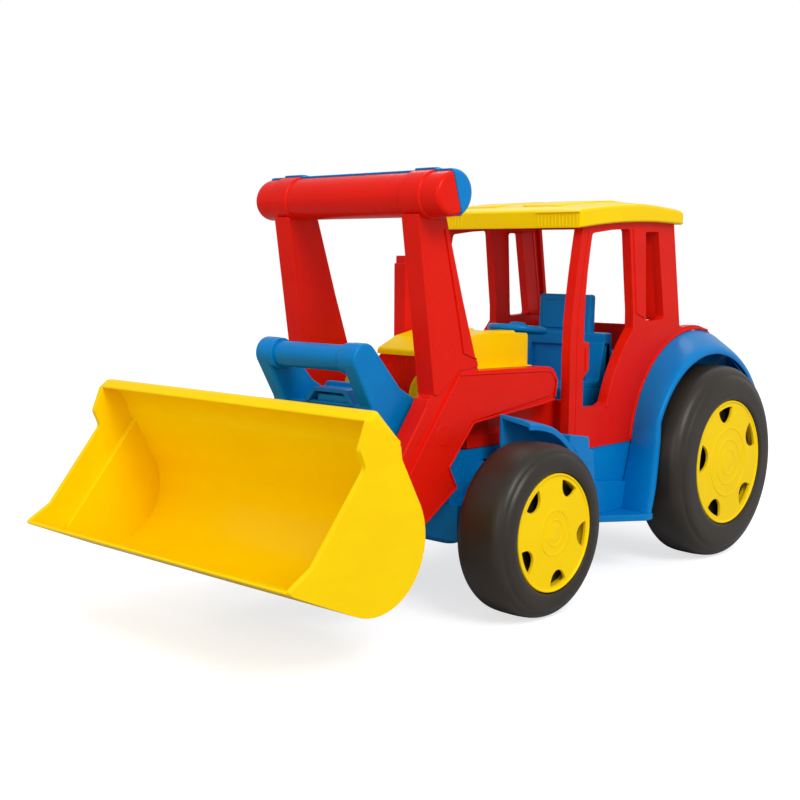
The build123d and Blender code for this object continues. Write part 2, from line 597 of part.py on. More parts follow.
# ---------------------------------------------------------------- tilt lever and bucket
def tilt_lever():
    """Two plates joined by the grip tube, a web and a mounting pad behind the bucket."""
    grip = arc_points(GRIP_X, GRIP_Z, GRIP_BOSS_R, -27, 143, 9)
    outline = grip + [(116.3, 163.9), (101.5, 155.5), (102, 140), (128, 84), (146, 46),
                      (182, 46), (182, 100), (164, 104), (150, 124), (144.5, 150.7)]
    plate = side_slab(outline, LEVER_IN_Y, LEVER_IN_Y + LEVER_T)
    plate -= rod_y(TILT_X, TILT_Z, PIN_R + RUN_FIT, 0, LEVER_IN_Y + LEVER_T + 1)
    lever = plate + other_side(plate)
    lever += rod_y(GRIP_X, GRIP_Z, GRIP_R, -LEVER_IN_Y, LEVER_IN_Y)
    web = [(117, 150), (121, 163), (128, 167), (139, 165), (139, 162), (129, 163), (125, 160), (121, 150)]
    lever += side_slab(web, -LEVER_IN_Y, LEVER_IN_Y)
    lever += block(174, 182, -LEVER_IN_Y, LEVER_IN_Y, 66, 96)
    return lever


def bucket_outline():
    """Outer side outline of the bucket, from the cutting edge up the open front and round the back."""
    back = arc_points(BUCKET_CX, BUCKET_CZ, BUCKET_R, 152, 293.5, 16)
    return [(TIP_X, TIP_Z), (280, 79.5), (238.2, 131), (243.3, 142.2), (236.5, 158.5), (232, 164.5),
            (227.5, 164.5), (209.4, 144.4), (211, 139)] + back


def bucket_cavity(rim):
    """The hollow of the bucket. The rim zone is deeper, the inner zone narrower."""
    wall = BUCKET_WALL
    extra = 0.0 if rim else RIM_STEP - 2
    back = arc_points(BUCKET_CX, BUCKET_CZ, BUCKET_R - wall - (0 if rim else 1.5), 152, 293.5, 16)
    front_shift = 30.0
    top = [(222 - extra, 158.5 - 2 * extra), (216 - extra, 148 - 2 * extra)]
    nose = [(TIP_X - 3 + 60 * 0.918, TIP_Z + 2.5 + 60 * 0.397), (300 + front_shift, 200), (250, 158.5 - 2 * extra)]
    return nose + top + back + [(TIP_X - 3, TIP_Z + 1.6)]


def bucket():
    """The yellow bucket: curved plate, flat sides, a stepped rim and a thick pad on its back."""
    half = BUCKET_HALF_W
    body = side_slab(bucket_outline(), -half, half)
    rim_wall = half - BUCKET_WALL
    zone = [(204.7 + 4, 141.7 + 20), (204.7 + 8, 141.7), (270.6 + 8, 62.3), (400, 40), (400, 240), (204, 240)]
    rim = side_slab(bucket_cavity(True), -rim_wall, rim_wall) & side_slab(zone, -rim_wall, rim_wall)
    inner_wall = rim_wall - RIM_STEP
    inner = side_slab(bucket_cavity(False), -inner_wall, inner_wall)
    body = body - rim - inner
    pad = [(182.02, 66), (182.02, 96), (191, 96), (193, 66)]
    pad_solid = side_slab(pad, -LEVER_IN_Y - LEVER_T, LEVER_IN_Y + LEVER_T)
    pad_solid -= side_slab(bucket_cavity(True), -half, half)
    return body + pad_solid


# ---------------------------------------------------------------- small pieces
def headlight():
    """A round pod on the nose, widening to the front and resting above the tub's riser."""
    pod = Cone(LAMP_NECK_R, LAMP_R, LAMP_T, rotation=(0, 90, 0))
    pod = Pos(HOOD_FRONT_X + 0.04 + LAMP_T / 2, LAMP_Y, LAMP_Z) * pod
    return pod - block(RISER_REAR_X - 0.3, 200, 0, 100, 0, RISER_TOP + 0.3)


def exhaust_stack():
    """A square post on the right of the hood."""
    base = NOSE_BODY_TOP
    post = block(STACK_X - STACK_HALF, STACK_X + STACK_HALF, STACK_Y - STACK_HALF, STACK_Y + STACK_HALF,
                 base, STACK_TOP)
    return fillet(post.edges().filter_by(Axis.Z), 1.5)


def screw(x, y):
    """A screw head at the top of its recess in the tub's floor."""
    head = Cylinder(SCREW_HEAD_R, SCREW_HEAD_T, align=(Align.CENTER, Align.CENTER, Align.MAX))
    return Pos(x, y, TUB_BOTTOM + SCREW_HEAD_T + SCREW_SINK) * head


# ---------------------------------------------------------------- write every node
nuts = wheel_set("front", FRONT_AXLE_X, FRONT_WHEEL_R, FRONT_TYRE_IN_Y, FRONT_TYRE_W, FRONT_CAP_R,
                 FRONT_HOLE_TURN)
rear_nuts = wheel_set("rear", REAR_AXLE_X, REAR_WHEEL_R, REAR_TYRE_IN_Y, REAR_TYRE_W, REAR_CAP_R,
                      REAR_HOLE_TURN)
save("axle_push_nuts", nuts, other_side(nuts), rear_nuts, other_side(rear_nuts))

save("chassis_tub", chassis_tub())
save_pair("front_fender", front_fender())
save_pair("rear_fender", rear_fender())
save("nose_body", nose_body())
save_pair("cab_side", cab_side())
save("rear_body", rear_body())
save("hood_cover", hood_cover())
save("roof", roof())
save("seat", seat())
save("steering_column", steering_column())
save("steering_wheel", steering_wheel())
save_pair("headlight", headlight())
save("exhaust_stack", exhaust_stack())
save("body_screws", *[screw(x, y) for x, y in SCREW_SPOTS])

save_pair("loader_arm", loader_arm())
front_shell, rear_shell = push_bar_halves()
save("push_bar_front", front_shell)
save("push_bar_rear", rear_shell)
save("lift_pins", lift_pin(), other_side(lift_pin()))
save("tilt_pins", tilt_pin(), other_side(tilt_pin()))

save("tilt_lever", tilt_lever())
save("bucket", bucket())
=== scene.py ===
import json
import math

import bmesh
import bpy
from mathutils import Matrix, Vector
from mathutils.geometry import tessellate_polygon


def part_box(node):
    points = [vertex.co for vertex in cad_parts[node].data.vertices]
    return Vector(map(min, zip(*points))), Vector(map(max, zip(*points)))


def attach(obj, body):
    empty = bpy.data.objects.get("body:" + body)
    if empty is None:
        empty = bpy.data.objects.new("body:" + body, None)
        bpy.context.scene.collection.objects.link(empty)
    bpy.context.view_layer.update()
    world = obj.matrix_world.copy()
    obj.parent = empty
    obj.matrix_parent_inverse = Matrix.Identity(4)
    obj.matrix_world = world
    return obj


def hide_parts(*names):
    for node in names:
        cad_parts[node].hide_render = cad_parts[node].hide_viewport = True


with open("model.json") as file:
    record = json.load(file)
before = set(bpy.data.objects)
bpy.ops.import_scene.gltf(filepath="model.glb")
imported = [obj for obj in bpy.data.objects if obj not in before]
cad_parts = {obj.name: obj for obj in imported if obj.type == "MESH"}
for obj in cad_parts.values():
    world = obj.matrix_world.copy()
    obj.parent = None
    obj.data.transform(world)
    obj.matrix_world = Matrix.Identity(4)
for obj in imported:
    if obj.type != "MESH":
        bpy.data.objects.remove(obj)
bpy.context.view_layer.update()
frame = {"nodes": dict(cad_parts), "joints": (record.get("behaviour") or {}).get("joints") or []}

bl_info = {
    "name": "Toy Loader Tractor",
    "version": (1, 0, 0),
    "blender": (4, 5, 0),
    "location": "3D View > Sidebar > Tractor",
    "description": "Builds the moulded look of a toy tractor with a front loader around its fixed frame",
    "category": "Object",
}

MM = 0.001

LEFT = 1
RIGHT = -1
SIDES = ((LEFT, "left"), (RIGHT, "right"))


# ------------------------------------------------------------------ outlines
def arc(cx, cz, r, start, end, count):
    """Points along a circle, from angle start to end in degrees."""
    turns = [math.radians(start + (end - start) * i / (count - 1)) for i in range(count)]
    return [(cx + r * math.cos(t), cz + r * math.sin(t)) for t in turns]


def circle(cx, cz, r, count=48):
    """A closed ring of points."""
    return arc(cx, cz, r, 0, 360 - 360 / count, count)


def soften(points, radius, steps=5):
    """The closed outline with its corners rounded. A point's own third value overrides radius."""
    rounded = []
    count = len(points)
    for i, point in enumerate(points):
        size = point[2] if len(point) > 2 else radius
        here = Vector(point[:2])
        before = Vector(points[i - 1][:2]) - here
        after = Vector(points[(i + 1) % count][:2]) - here
        if size <= 0 or before.length == 0 or after.length == 0:
            rounded.append((here.x, here.y))
            continue
        turn = math.pi - before.angle(after)
        if turn < math.radians(12):
            rounded.append((here.x, here.y))
            continue
        reach = size * math.tan(turn / 2)
        near = min(reach, before.length * 0.48, after.length * 0.48)
        a = here + before.normalized() * near
        b = here + after.normalized() * near
        for k in range(steps + 1):
            t = k / steps
            p = a * (1 - t) ** 2 + here * 2 * t * (1 - t) + b * t ** 2
            rounded.append((p.x, p.y))
    return rounded


def smooth_curve(points, per_span=6):
    """An open curve that passes through every point."""
    ends = [points[0]] + list(points) + [points[-1]]
    curve = []
    for i in range(1, len(ends) - 2):
        p0, p1, p2, p3 = (Vector(ends[i + k]) for k in (-1, 0, 1, 2))
        for k in range(per_span):
            t = k / per_span
            curve.append(tuple(0.5 * ((2 * p1) + (p2 - p0) * t + (2 * p0 - 5 * p1 + 4 * p2 - p3) * t ** 2
                                      + (3 * p1 - p0 - 3 * p2 + p3) * t ** 3)))
    curve.append(tuple(points[-1]))
    return curve


# ------------------------------------------------------------------ solids
class Shape:
    """Solids in millimetres: points, faces, how far edges may be rounded, whether flat faces join."""

    def __init__(self, points=(), faces=(), ease=10.0, join=True):
        self.solids = [([Vector(p) for p in points], [list(f) for f in faces], ease, join)] if points else []

    def __add__(self, other):
        both = Shape()
        both.solids = self.solids + other.solids
        return both

    def moved(self, place, flip=False):
        """Every point put through place; flip turns the faces round."""
        result = Shape()
        result.solids = [([place(p) for p in points], [f[::-1] if flip else f for f in faces], ease, join)
                         for points, faces, ease, join in self.solids]
        return result

    def mirrored(self):
        return self.moved(lambda p: Vector((p.x, -p.y, p.z)), True)

    def on_side(self, side):
        return self if side == LEFT else self.mirrored()

    def both_sides(self):
        return self + self.mirrored()


AXES = {"X": (1, 0, 0), "Y": (0, 1, 0), "Z": (0, 0, 1)}
PLACE = {"X": lambda a, b, t: (t, a, b), "Y": lambda a, b, t: (a, t, b), "Z": lambda a, b, t: (a, b, t)}


def slab(outline, low, high, axis="Y", holes=(), ease=10.0):
    """A flat plate with this outline, and holes through it, between two heights along axis."""
    loops = [list(outline)] + [list(h) for h in holes]
    flat = [p for loop in loops for p in loop]
    triangles = tessellate_polygon([[Vector((a, b, 0)) for a, b in loop] for loop in loops])
    put = PLACE[axis]
    count = len(flat)
    points = [put(a, b, low) for a, b in flat] + [put(a, b, high) for a, b in flat]
    faces = [list(t)[::-1] for t in triangles] + [[i + count for i in t] for t in triangles]
    start = 0
    for loop in loops:
        size = len(loop)
        for i in range(size):
            j = (i + 1) % size
            faces.append([start + i, start + j, start + j + count, start + i + count])
        start += size
    return Shape(points, faces, ease)


def brick(x0, x1, y0, y1, z0, z1):
    """A block between two corners."""
    return slab([(x0, z0), (x1, z0), (x1, z1), (x0, z1)], y0, y1)


def turned(profile, centre, axis="Y", steps=96):
    """A closed outline of (height, radius) points turned about an axis through centre."""
    c = Vector(centre)
    along = Vector(AXES[axis] if isinstance(axis, str) else axis).normalized()
    side = along.orthogonal().normalized()
    other = along.cross(side)
    points = []
    for s in range(steps):
        t = 2 * math.pi * s / steps
        out = side * math.cos(t) + other * math.sin(t)
        points += [c + along * h + out * r for h, r in profile]
    n = len(profile)
    faces = []
    for s in range(steps):
        nxt = (s + 1) % steps
        for i in range(n):
            j = (i + 1) % n
            faces.append([s * n + i, s * n + j, nxt * n + j, nxt * n + i])
    return Shape(points, faces)


def ribbon(line, width, low, high):
    """A narrow strip on a Y face, width wide on the left of a line of (x, z) points."""
    rings = []
    for i, point in enumerate(line):
        before = Vector(line[max(i - 1, 0)])
        after = Vector(line[min(i + 1, len(line) - 1)])
        along = (after - before).normalized()
        x, z = point
        ex, ez = x - along.y * width, z + along.x * width
        rings.append([(x, low, z), (x, high, z), (ex, high, ez), (ex, low, ez)])
    return loft(rings, abs(width) * 0.3, False)


def bead(r, thick, centre, axis="Y", lift=0.0, steps=96):
    """A fine raised ring on a flat face."""
    rim = [(lift + thick * 0.9 * math.sin(math.radians(a)), r + thick * math.cos(math.radians(a)))
           for a in range(0, 360, 30)]
    return turned(rim, centre, axis, steps)


def loft(rings, ease=10.0, join=True):
    """A closed skin over rings of equal point count."""
    n = len(rings[0])
    points = [p for ring in rings for p in ring]
    faces = []
    for r in range(len(rings) - 1):
        for i in range(n):
            j = (i + 1) % n
            faces.append([r * n + i, r * n + j, (r + 1) * n + j, (r + 1) * n + i])
    faces.append(list(range(n))[::-1])
    faces.append([(len(rings) - 1) * n + i for i in range(n)])
    return Shape(points, faces, ease, join)


def rod(start, end, r, round_over=0.0, steps=32):
    """A round bar between two points, its end edges eased by round_over."""
    a, b = Vector(start), Vector(end)
    along = (b - a).normalized()
    side = along.orthogonal().normalized()
    other = along.cross(side)
    length = (b - a).length
    if round_over > 0:
        ease = [(round_over * (1 - math.cos(math.radians(t))),
                 r - round_over * (1 - math.sin(math.radians(t))))
                for t in (0, 22.5, 45, 67.5, 90)]
        stations = ease + [(length - h, q) for h, q in ease[::-1]]
    else:
        stations = [(0, r), (length, r)]
    rings = []
    for h, q in stations:
        rings.append([a + along * h + (side * math.cos(2 * math.pi * k / steps)
                                       + other * math.sin(2 * math.pi * k / steps)) * q
                                       for k in range(steps)])
    return loft(rings)


def mm_box(node):
    """A frame node's lowest and highest corners in millimetres."""
    low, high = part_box(node)
    return low / MM, high / MM


def joint_mm(name):
    """A joint's place in millimetres."""
    for joint in frame["joints"]:
        if joint["name"] == name:
            return Vector(joint["pos_m"]) / MM
    raise RuntimeError(f"the frame has no joint {name}")


def add_solid(whole, points, faces, join, bevel, segments, angle):
    """Adds one closed solid to a mesh under construction, its sharp edges rounded."""
    bm = bmesh.new()
    verts = [bm.verts.new(p * MM) for p in points]
    for face in faces:
        if len(set(face)) > 2:
            bm.faces.new([verts[i] for i in face])
    bmesh.ops.remove_doubles(bm, verts=bm.verts, dist=0.004 * MM)
    if join:
        bmesh.ops.dissolve_limit(bm, angle_limit=math.radians(0.4), verts=bm.verts, edges=bm.edges)
    bmesh.ops.recalc_face_normals(bm, faces=bm.faces)
    if bevel > 0:
        sharp = [e for e in bm.edges if e.is_manifold and e.calc_face_angle(0) > math.radians(angle)]
        bmesh.ops.bevel(bm, geom=sharp, offset=bevel * MM, offset_type="OFFSET", segments=segments,
                        profile=0.5,
                        affect="EDGES", clamp_overlap=True)
    piece = bpy.data.meshes.new("solid")
    bm.to_mesh(piece)
    bm.free()
    whole.from_mesh(piece)
    bpy.data.meshes.remove(piece)


def make(name, shape, finish, body, nodes=(), bevel=1.0, segments=3, angle=32.0):
    """Turns a shape into an object that rides on a body and stands for its frame nodes."""
    whole = bmesh.new()
    for points, faces, ease, join in shape.solids:
        add_solid(whole, points, faces, join, min(bevel, ease), segments, angle)
    for face in whole.faces:
        face.smooth = True
    mesh = bpy.data.meshes.new(name)
    whole.to_mesh(mesh)
    whole.free()
    mesh.set_sharp_from_angle(angle=math.radians(50))
    obj = bpy.data.objects.new(name, mesh)
    bpy.context.scene.collection.objects.link(obj)
    mesh.materials.append(material(finish))
    even = obj.modifiers.new("even shading", "WEIGHTED_NORMAL")
    even.keep_sharp = True
    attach(obj, body)
    if nodes:
        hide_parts(*nodes)
    return obj


class Recipe:
    """Builds one material's nodes."""

    def __init__(self, name):
        self.material = bpy.data.materials.new(name)
        self.material.use_nodes = True
        self.tree = self.material.node_tree
        self.tree.nodes.clear()

    def node(self, kind, settings=None, inputs=None):
        """A node of this type: its settings, then the values or links of its sockets."""
        made = self.tree.nodes.new(kind)
        for key, value in (settings or {}).items():
            setattr(made, key, value)
        for key, value in (inputs or {}).items():
            self.feed(made.inputs[key], value)
        return made

    def feed(self, socket, value):
        """Links or sets one input socket."""
        if isinstance(value, Number):
            self.tree.links.new(value.socket, socket)
        elif isinstance(value, bpy.types.NodeSocket):
            self.tree.links.new(value, socket)
        elif socket.type == "RGBA" and len(value) == 3:
            socket.default_value = (*value, 1.0)
        else:
            socket.default_value = value

    def number(self, socket):
        return Number(self, socket)

    def noise(self, scale, detail=2.0, roughness=0.5, distortion=0.0, stretch=(1, 1, 1)):
        """Cloudy variation over the object; scale is in lumps per metre."""
        where = self.node("ShaderNodeTexCoord").outputs["Object"]
        if tuple(stretch) != (1, 1, 1):
            where = self.node("ShaderNodeMapping", None,
                              {"Vector": where, "Scale": stretch}).outputs["Vector"]
        made = self.node("ShaderNodeTexNoise", None, {
            "Vector": where, "Scale": scale, "Detail": detail, "Roughness": roughness,
            "Distortion": distortion})
        return self.number(made.outputs["Fac"])

    def mix(self, factor, first, second):
        """A colour between two."""
        made = self.node("ShaderNodeMix", {"data_type": "RGBA"})
        self.feed(made.inputs[0], factor)
        self.feed(made.inputs[6], first)
        self.feed(made.inputs[7], second)
        return made.outputs[2]

    def bump(self, height, depth_mm, strength=1.0):
        """A surface normal from a height between 0 and 1, depth_mm deep."""
        made = self.node("ShaderNodeBump", None, {"Strength": strength, "Distance": depth_mm * MM})
        self.feed(made.inputs["Height"], height)
        return made.outputs["Normal"]


class Number:
    """A number socket that Python arithmetic works on."""

    def __init__(self, recipe, socket):
        self.recipe = recipe
        self.socket = socket

    def _maths(self, operation, first, second):
        made = self.recipe.node("ShaderNodeMath", {"operation": operation})
        self.recipe.feed(made.inputs[0], first)
        self.recipe.feed(made.inputs[1], second)
        return Number(self.recipe, made.outputs[0])

    def __add__(self, other):
        return self._maths("ADD", self, other)

    __radd__ = __add__

    def __sub__(self, other):
        return self._maths("SUBTRACT", self, other)

    def __mul__(self, other):
        return self._maths("MULTIPLY", self, other)

    __rmul__ = __mul__

    def between(self, low, high):
        """0 below low, 1 above high."""
        made = self.recipe.node("ShaderNodeMapRange", {"clamp": True, "interpolation_type": "SMOOTHSTEP"},
                                {"Value": self, "From Min": low, "From Max": high})
        return Number(self.recipe, made.outputs[0])


def moulded_plastic(name, colour, deep, gloss, level):
    """Injection-moulded plastic: soft sheen, faint flow marks, fine texture and light rubbing."""
    r = Recipe(name)
    cloud = r.noise(14, 3.0)
    flow = r.noise(30, 2.0, distortion=0.6, stretch=(1, 0.35, 2.2))
    rub = r.noise(260, 3.0, stretch=(0.25, 1, 3)).between(0.66, 0.78)
    grain = r.noise(1700, 2.0)
    sink = r.noise(55, 1.0)
    shade = (cloud * 0.6 + flow * 0.4).between(0.42, 0.66)
    base = r.mix(shade * 0.55, colour, deep)
    rough = gloss + (cloud - 0.5) * 0.10 + rub * 0.07 + grain * 0.03
    height = grain * 0.10 + sink * 0.9
    surface = r.node("ShaderNodeBsdfPrincipled", None, {
        "Base Color": base, "Roughness": rough, "Normal": r.bump(height, 0.09, 0.35),
        "IOR": 1.46, "Specular IOR Level": level})
    r.node("ShaderNodeOutputMaterial", None, {"Surface": surface.outputs["BSDF"]})
    return r.material


def blown_plastic(name, colour, dusty):
    """Blow-moulded wheel plastic: dull, softly uneven, a little grey where it has been handled."""
    r = Recipe(name)
    cloud = r.noise(22, 3.0)
    fine = r.noise(900, 2.0)
    wave = r.noise(48, 1.0)
    base = r.mix(cloud.between(0.40, 0.70) * 0.7, colour, dusty)
    rough = 0.38 + (cloud - 0.5) * 0.12 + fine * 0.05
    surface = r.node("ShaderNodeBsdfPrincipled", None, {
        "Base Color": base, "Roughness": rough, "Normal": r.bump(wave * 0.85 + fine * 0.15, 0.22, 0.4),
        "IOR": 1.46, "Specular IOR Level": 0.42})
    r.node("ShaderNodeOutputMaterial", None, {"Surface": surface.outputs["BSDF"]})
    return r.material


def plain_steel(name, colour, dark):
    """Drawn steel with fine lines along its length."""
    r = Recipe(name)
    lines = r.noise(500, 3.0, stretch=(1, 0.05, 1))
    base = r.mix(lines, dark, colour)
    surface = r.node("ShaderNodeBsdfPrincipled", None, {
        "Base Color": base, "Roughness": 0.26 + lines * 0.18, "Metallic": 1.0,
        "Normal": r.bump(lines, 0.03, 0.4)})
    r.node("ShaderNodeOutputMaterial", None, {"Surface": surface.outputs["BSDF"]})
    return r.material


def material(name):
    """The finish of this name, made once."""
    if name in bpy.data.materials:
        return bpy.data.materials[name]
    look = bpy.context.scene.tractor_looks
    if name == "Red moulding":
        return moulded_plastic(name, look.red, look.red_deep, look.gloss, 0.11)
    if name == "Blue moulding":
        return moulded_plastic(name, look.blue, look.blue_deep, look.gloss, 0.15)
    if name == "Yellow moulding":
        return moulded_plastic(name, look.yellow, look.yellow_deep, look.gloss, 0.09)
    if name == "Black blown plastic":
        return blown_plastic(name, look.tyre, look.tyre_dusty)
    if name == "Plain steel":
        return plain_steel(name, (0.62, 0.62, 0.63), (0.42, 0.42, 0.44))
    raise RuntimeError(f"there is no finish called {name}")


# ------------------------------------------------------------------ settings
def colour_prop(label, words, default):
    return bpy.props.FloatVectorProperty(name=label, description=words, subtype="COLOR", size=3,
                                         min=0.0, max=1.0, default=default)


def length_prop(label, words, default):
    return bpy.props.FloatProperty(name=label, description=words, default=default, min=0.0)


class TractorLooks(bpy.types.PropertyGroup):
    red: colour_prop("Red", "Body and loader plastic", (0.76, 0.010, 0.003))
    red_deep: colour_prop("Deep red", "Red where the plastic flowed thicker", (0.66, 0.007, 0.002))
    blue: colour_prop("Blue", "Chassis, fender and lever plastic", (0.0, 0.205, 0.55))
    blue_deep: colour_prop("Deep blue", "Blue where the plastic flowed thicker", (0.0, 0.165, 0.49))
    yellow: colour_prop("Yellow", "Bucket, roof, hood and hub plastic", (0.98, 0.66, 0.0))
    yellow_deep: colour_prop("Deep yellow", "Yellow where the plastic flowed thicker", (0.95, 0.60, 0.0))
    tyre: colour_prop("Tyre", "Blown wheel plastic", (0.024, 0.018, 0.012))
    tyre_dusty: colour_prop("Dusty tyre", "Blown wheel plastic where it has been handled",
                            (0.034, 0.026, 0.018))
    gloss: bpy.props.FloatProperty(name="Roughness", description="How dull the moulded plastic is",
                                   default=0.27, min=0.05, max=1.0)


class TractorSizes(bpy.types.PropertyGroup):
    rear_hole_turn: length_prop("Rear cap turn", "Angle of the first rear hub cap hole, in degrees", 9.5)
    front_hole_turn: length_prop("Front cap turn", "Angle of the first front hub cap hole, in degrees", 45.5)
    cap_holes: bpy.props.IntProperty(name="Cap holes", description="Holes round each hub cap", default=5,
                                     min=3)


# ------------------------------------------------------------------ wheels
def tyre_shape(node, cap_node, side):
    """Tread, two ridges on the shoulder, a plain side wall and the recess for the hub cap."""
    low, high = mm_box(node)
    _, cap_high = mm_box(cap_node)
    r = (high.z - low.z) / 2
    centre = Vector(((low.x + high.x) / 2, 0, (low.z + high.z) / 2))
    cap_r = (cap_high.z - mm_box(cap_node)[0].z) / 2
    out = max(abs(low.y), abs(high.y))
    inn = min(abs(low.y), abs(high.y))
    width = out - inn
    curve = smooth_curve([(out - 0.4, cap_r + 2.2), (out, cap_r + 4.5), (out - 0.1, r * 0.80),
                          (out - 0.9, r * 0.862), (out - 2.5, r * 0.893), (out - 3.1, r * 0.905),
                          (out - 3.4, r * 0.922), (out - 5.0, r * 0.953), (out - 8.0, r * 0.978),
                          (out - 12.5, r * 0.993), (out - width * 0.5, r - 0.02), (inn + 9, r * 0.992),
                          (inn + 4.5, r * 0.972), (inn + 1.2, r * 0.93), (inn, r * 0.86), (inn, r * 0.6),
                          (inn, r * 0.3)], 5)
    bore = 4.2
    floor_y = out - 9.9
    profile = [(floor_y, bore), (floor_y, cap_r + 0.5), (out - 1.6, cap_r + 0.5), (out - 0.9, cap_r + 1.0)]
    profile += curve + [(inn, bore)]
    return turned(profile, centre, "Y", 128).on_side(side)


def hole_outline(cx, cz, r, turn):
    """One hub cap hole: a shallow arc outside, rounding inwards to a blunt point."""
    half = 14.5
    depth = 0.225
    outer = arc(cx, cz, r * 0.90, turn - half, turn + half, 9)
    inner = []
    for k in range(1, 12):
        swing = math.pi * k / 12
        way = math.radians(turn + (half - 0.6) * math.cos(swing))
        reach = r * (0.875 - depth * math.sin(swing) ** 0.8)
        inner.append((cx + reach * math.cos(way), cz + reach * math.sin(way)))
    return soften(outer + inner, 1.6, 3)


def cap_shape(node, side, turn, rings):
    """The hub cap's face with its holes, rim and rings."""
    low, high = mm_box(node)
    cx, cz = (low.x + high.x) / 2, (low.z + high.z) / 2
    r = (high.z - low.z) / 2 - 0.1
    out = max(abs(low.y), abs(high.y))
    inn = min(abs(low.y), abs(high.y))
    sizes = bpy.context.scene.tractor_sizes
    face = out - 1.0
    holes = [hole_outline(cx, cz, r, turn + 360 * k / sizes.cap_holes) for k in range(sizes.cap_holes)]
    shape = slab(circle(cx, cz, r - 0.6, 120), face - 2.6, face - 0.4, "Y", holes)
    rim = [(inn, r - 2.6), (inn, r - 0.2), (face - 0.6, r), (face + 0.3, r - 0.25), (face + 0.55, r - 0.9),
           (face + 0.3, r - 1.7), (face - 0.5, r - 2.4), (face - 2.0, r - 2.6)]
    shape += turned(rim, (cx, 0, cz), "Y", 120)
    for share, thick in rings:
        shape += bead(r * share, thick, (cx, face - 0.45, cz), "Y", 0, 96)
    dome = [(-1.5, 0.01), (0.35, 0.01), (0.30, r * 0.10), (0.1, r * 0.165), (-0.3, r * 0.18),
            (-1.5, r * 0.18)]
    shape += turned(dome, (cx, face - 0.4, cz), "Y", 64)
    return shape.on_side(side)


class TRACTOR_OT_wheels(bpy.types.Operator):
    """Builds the four blown tyres and their hub caps"""
    bl_idname = "tractor.wheels"
    bl_label = "Wheels"

    def execute(self, context):
        sizes = context.scene.tractor_sizes
        for end, turn, rings in (("front", sizes.front_hole_turn, ((0.38, 0.55), (0.22, 0.5))),
                                 ("rear", sizes.rear_hole_turn, ((0.55, 0.6), (0.36, 0.5), (0.2, 0.5)))):
            for side, word in SIDES:
                body = f"{end}_{word}_wheel"
                tyre = f"{end}_tyre_{word}"
                cap = f"{end}_hub_cap_{word}"
                make(f"{end}_{word}_blown_tyre", tyre_shape(tyre, cap, side), "Black blown plastic", body,
                     [tyre], bevel=0.0, angle=50)
                make(f"{end}_{word}_wheel_cap", cap_shape(cap, side, turn, rings), "Yellow moulding", body,
                     [cap], bevel=0.5, segments=2)
        return {"FINISHED"}


# ------------------------------------------------------------------ fenders
ARCH = (-236.0, 95.0, 98.0)
LIP_R = 97.0


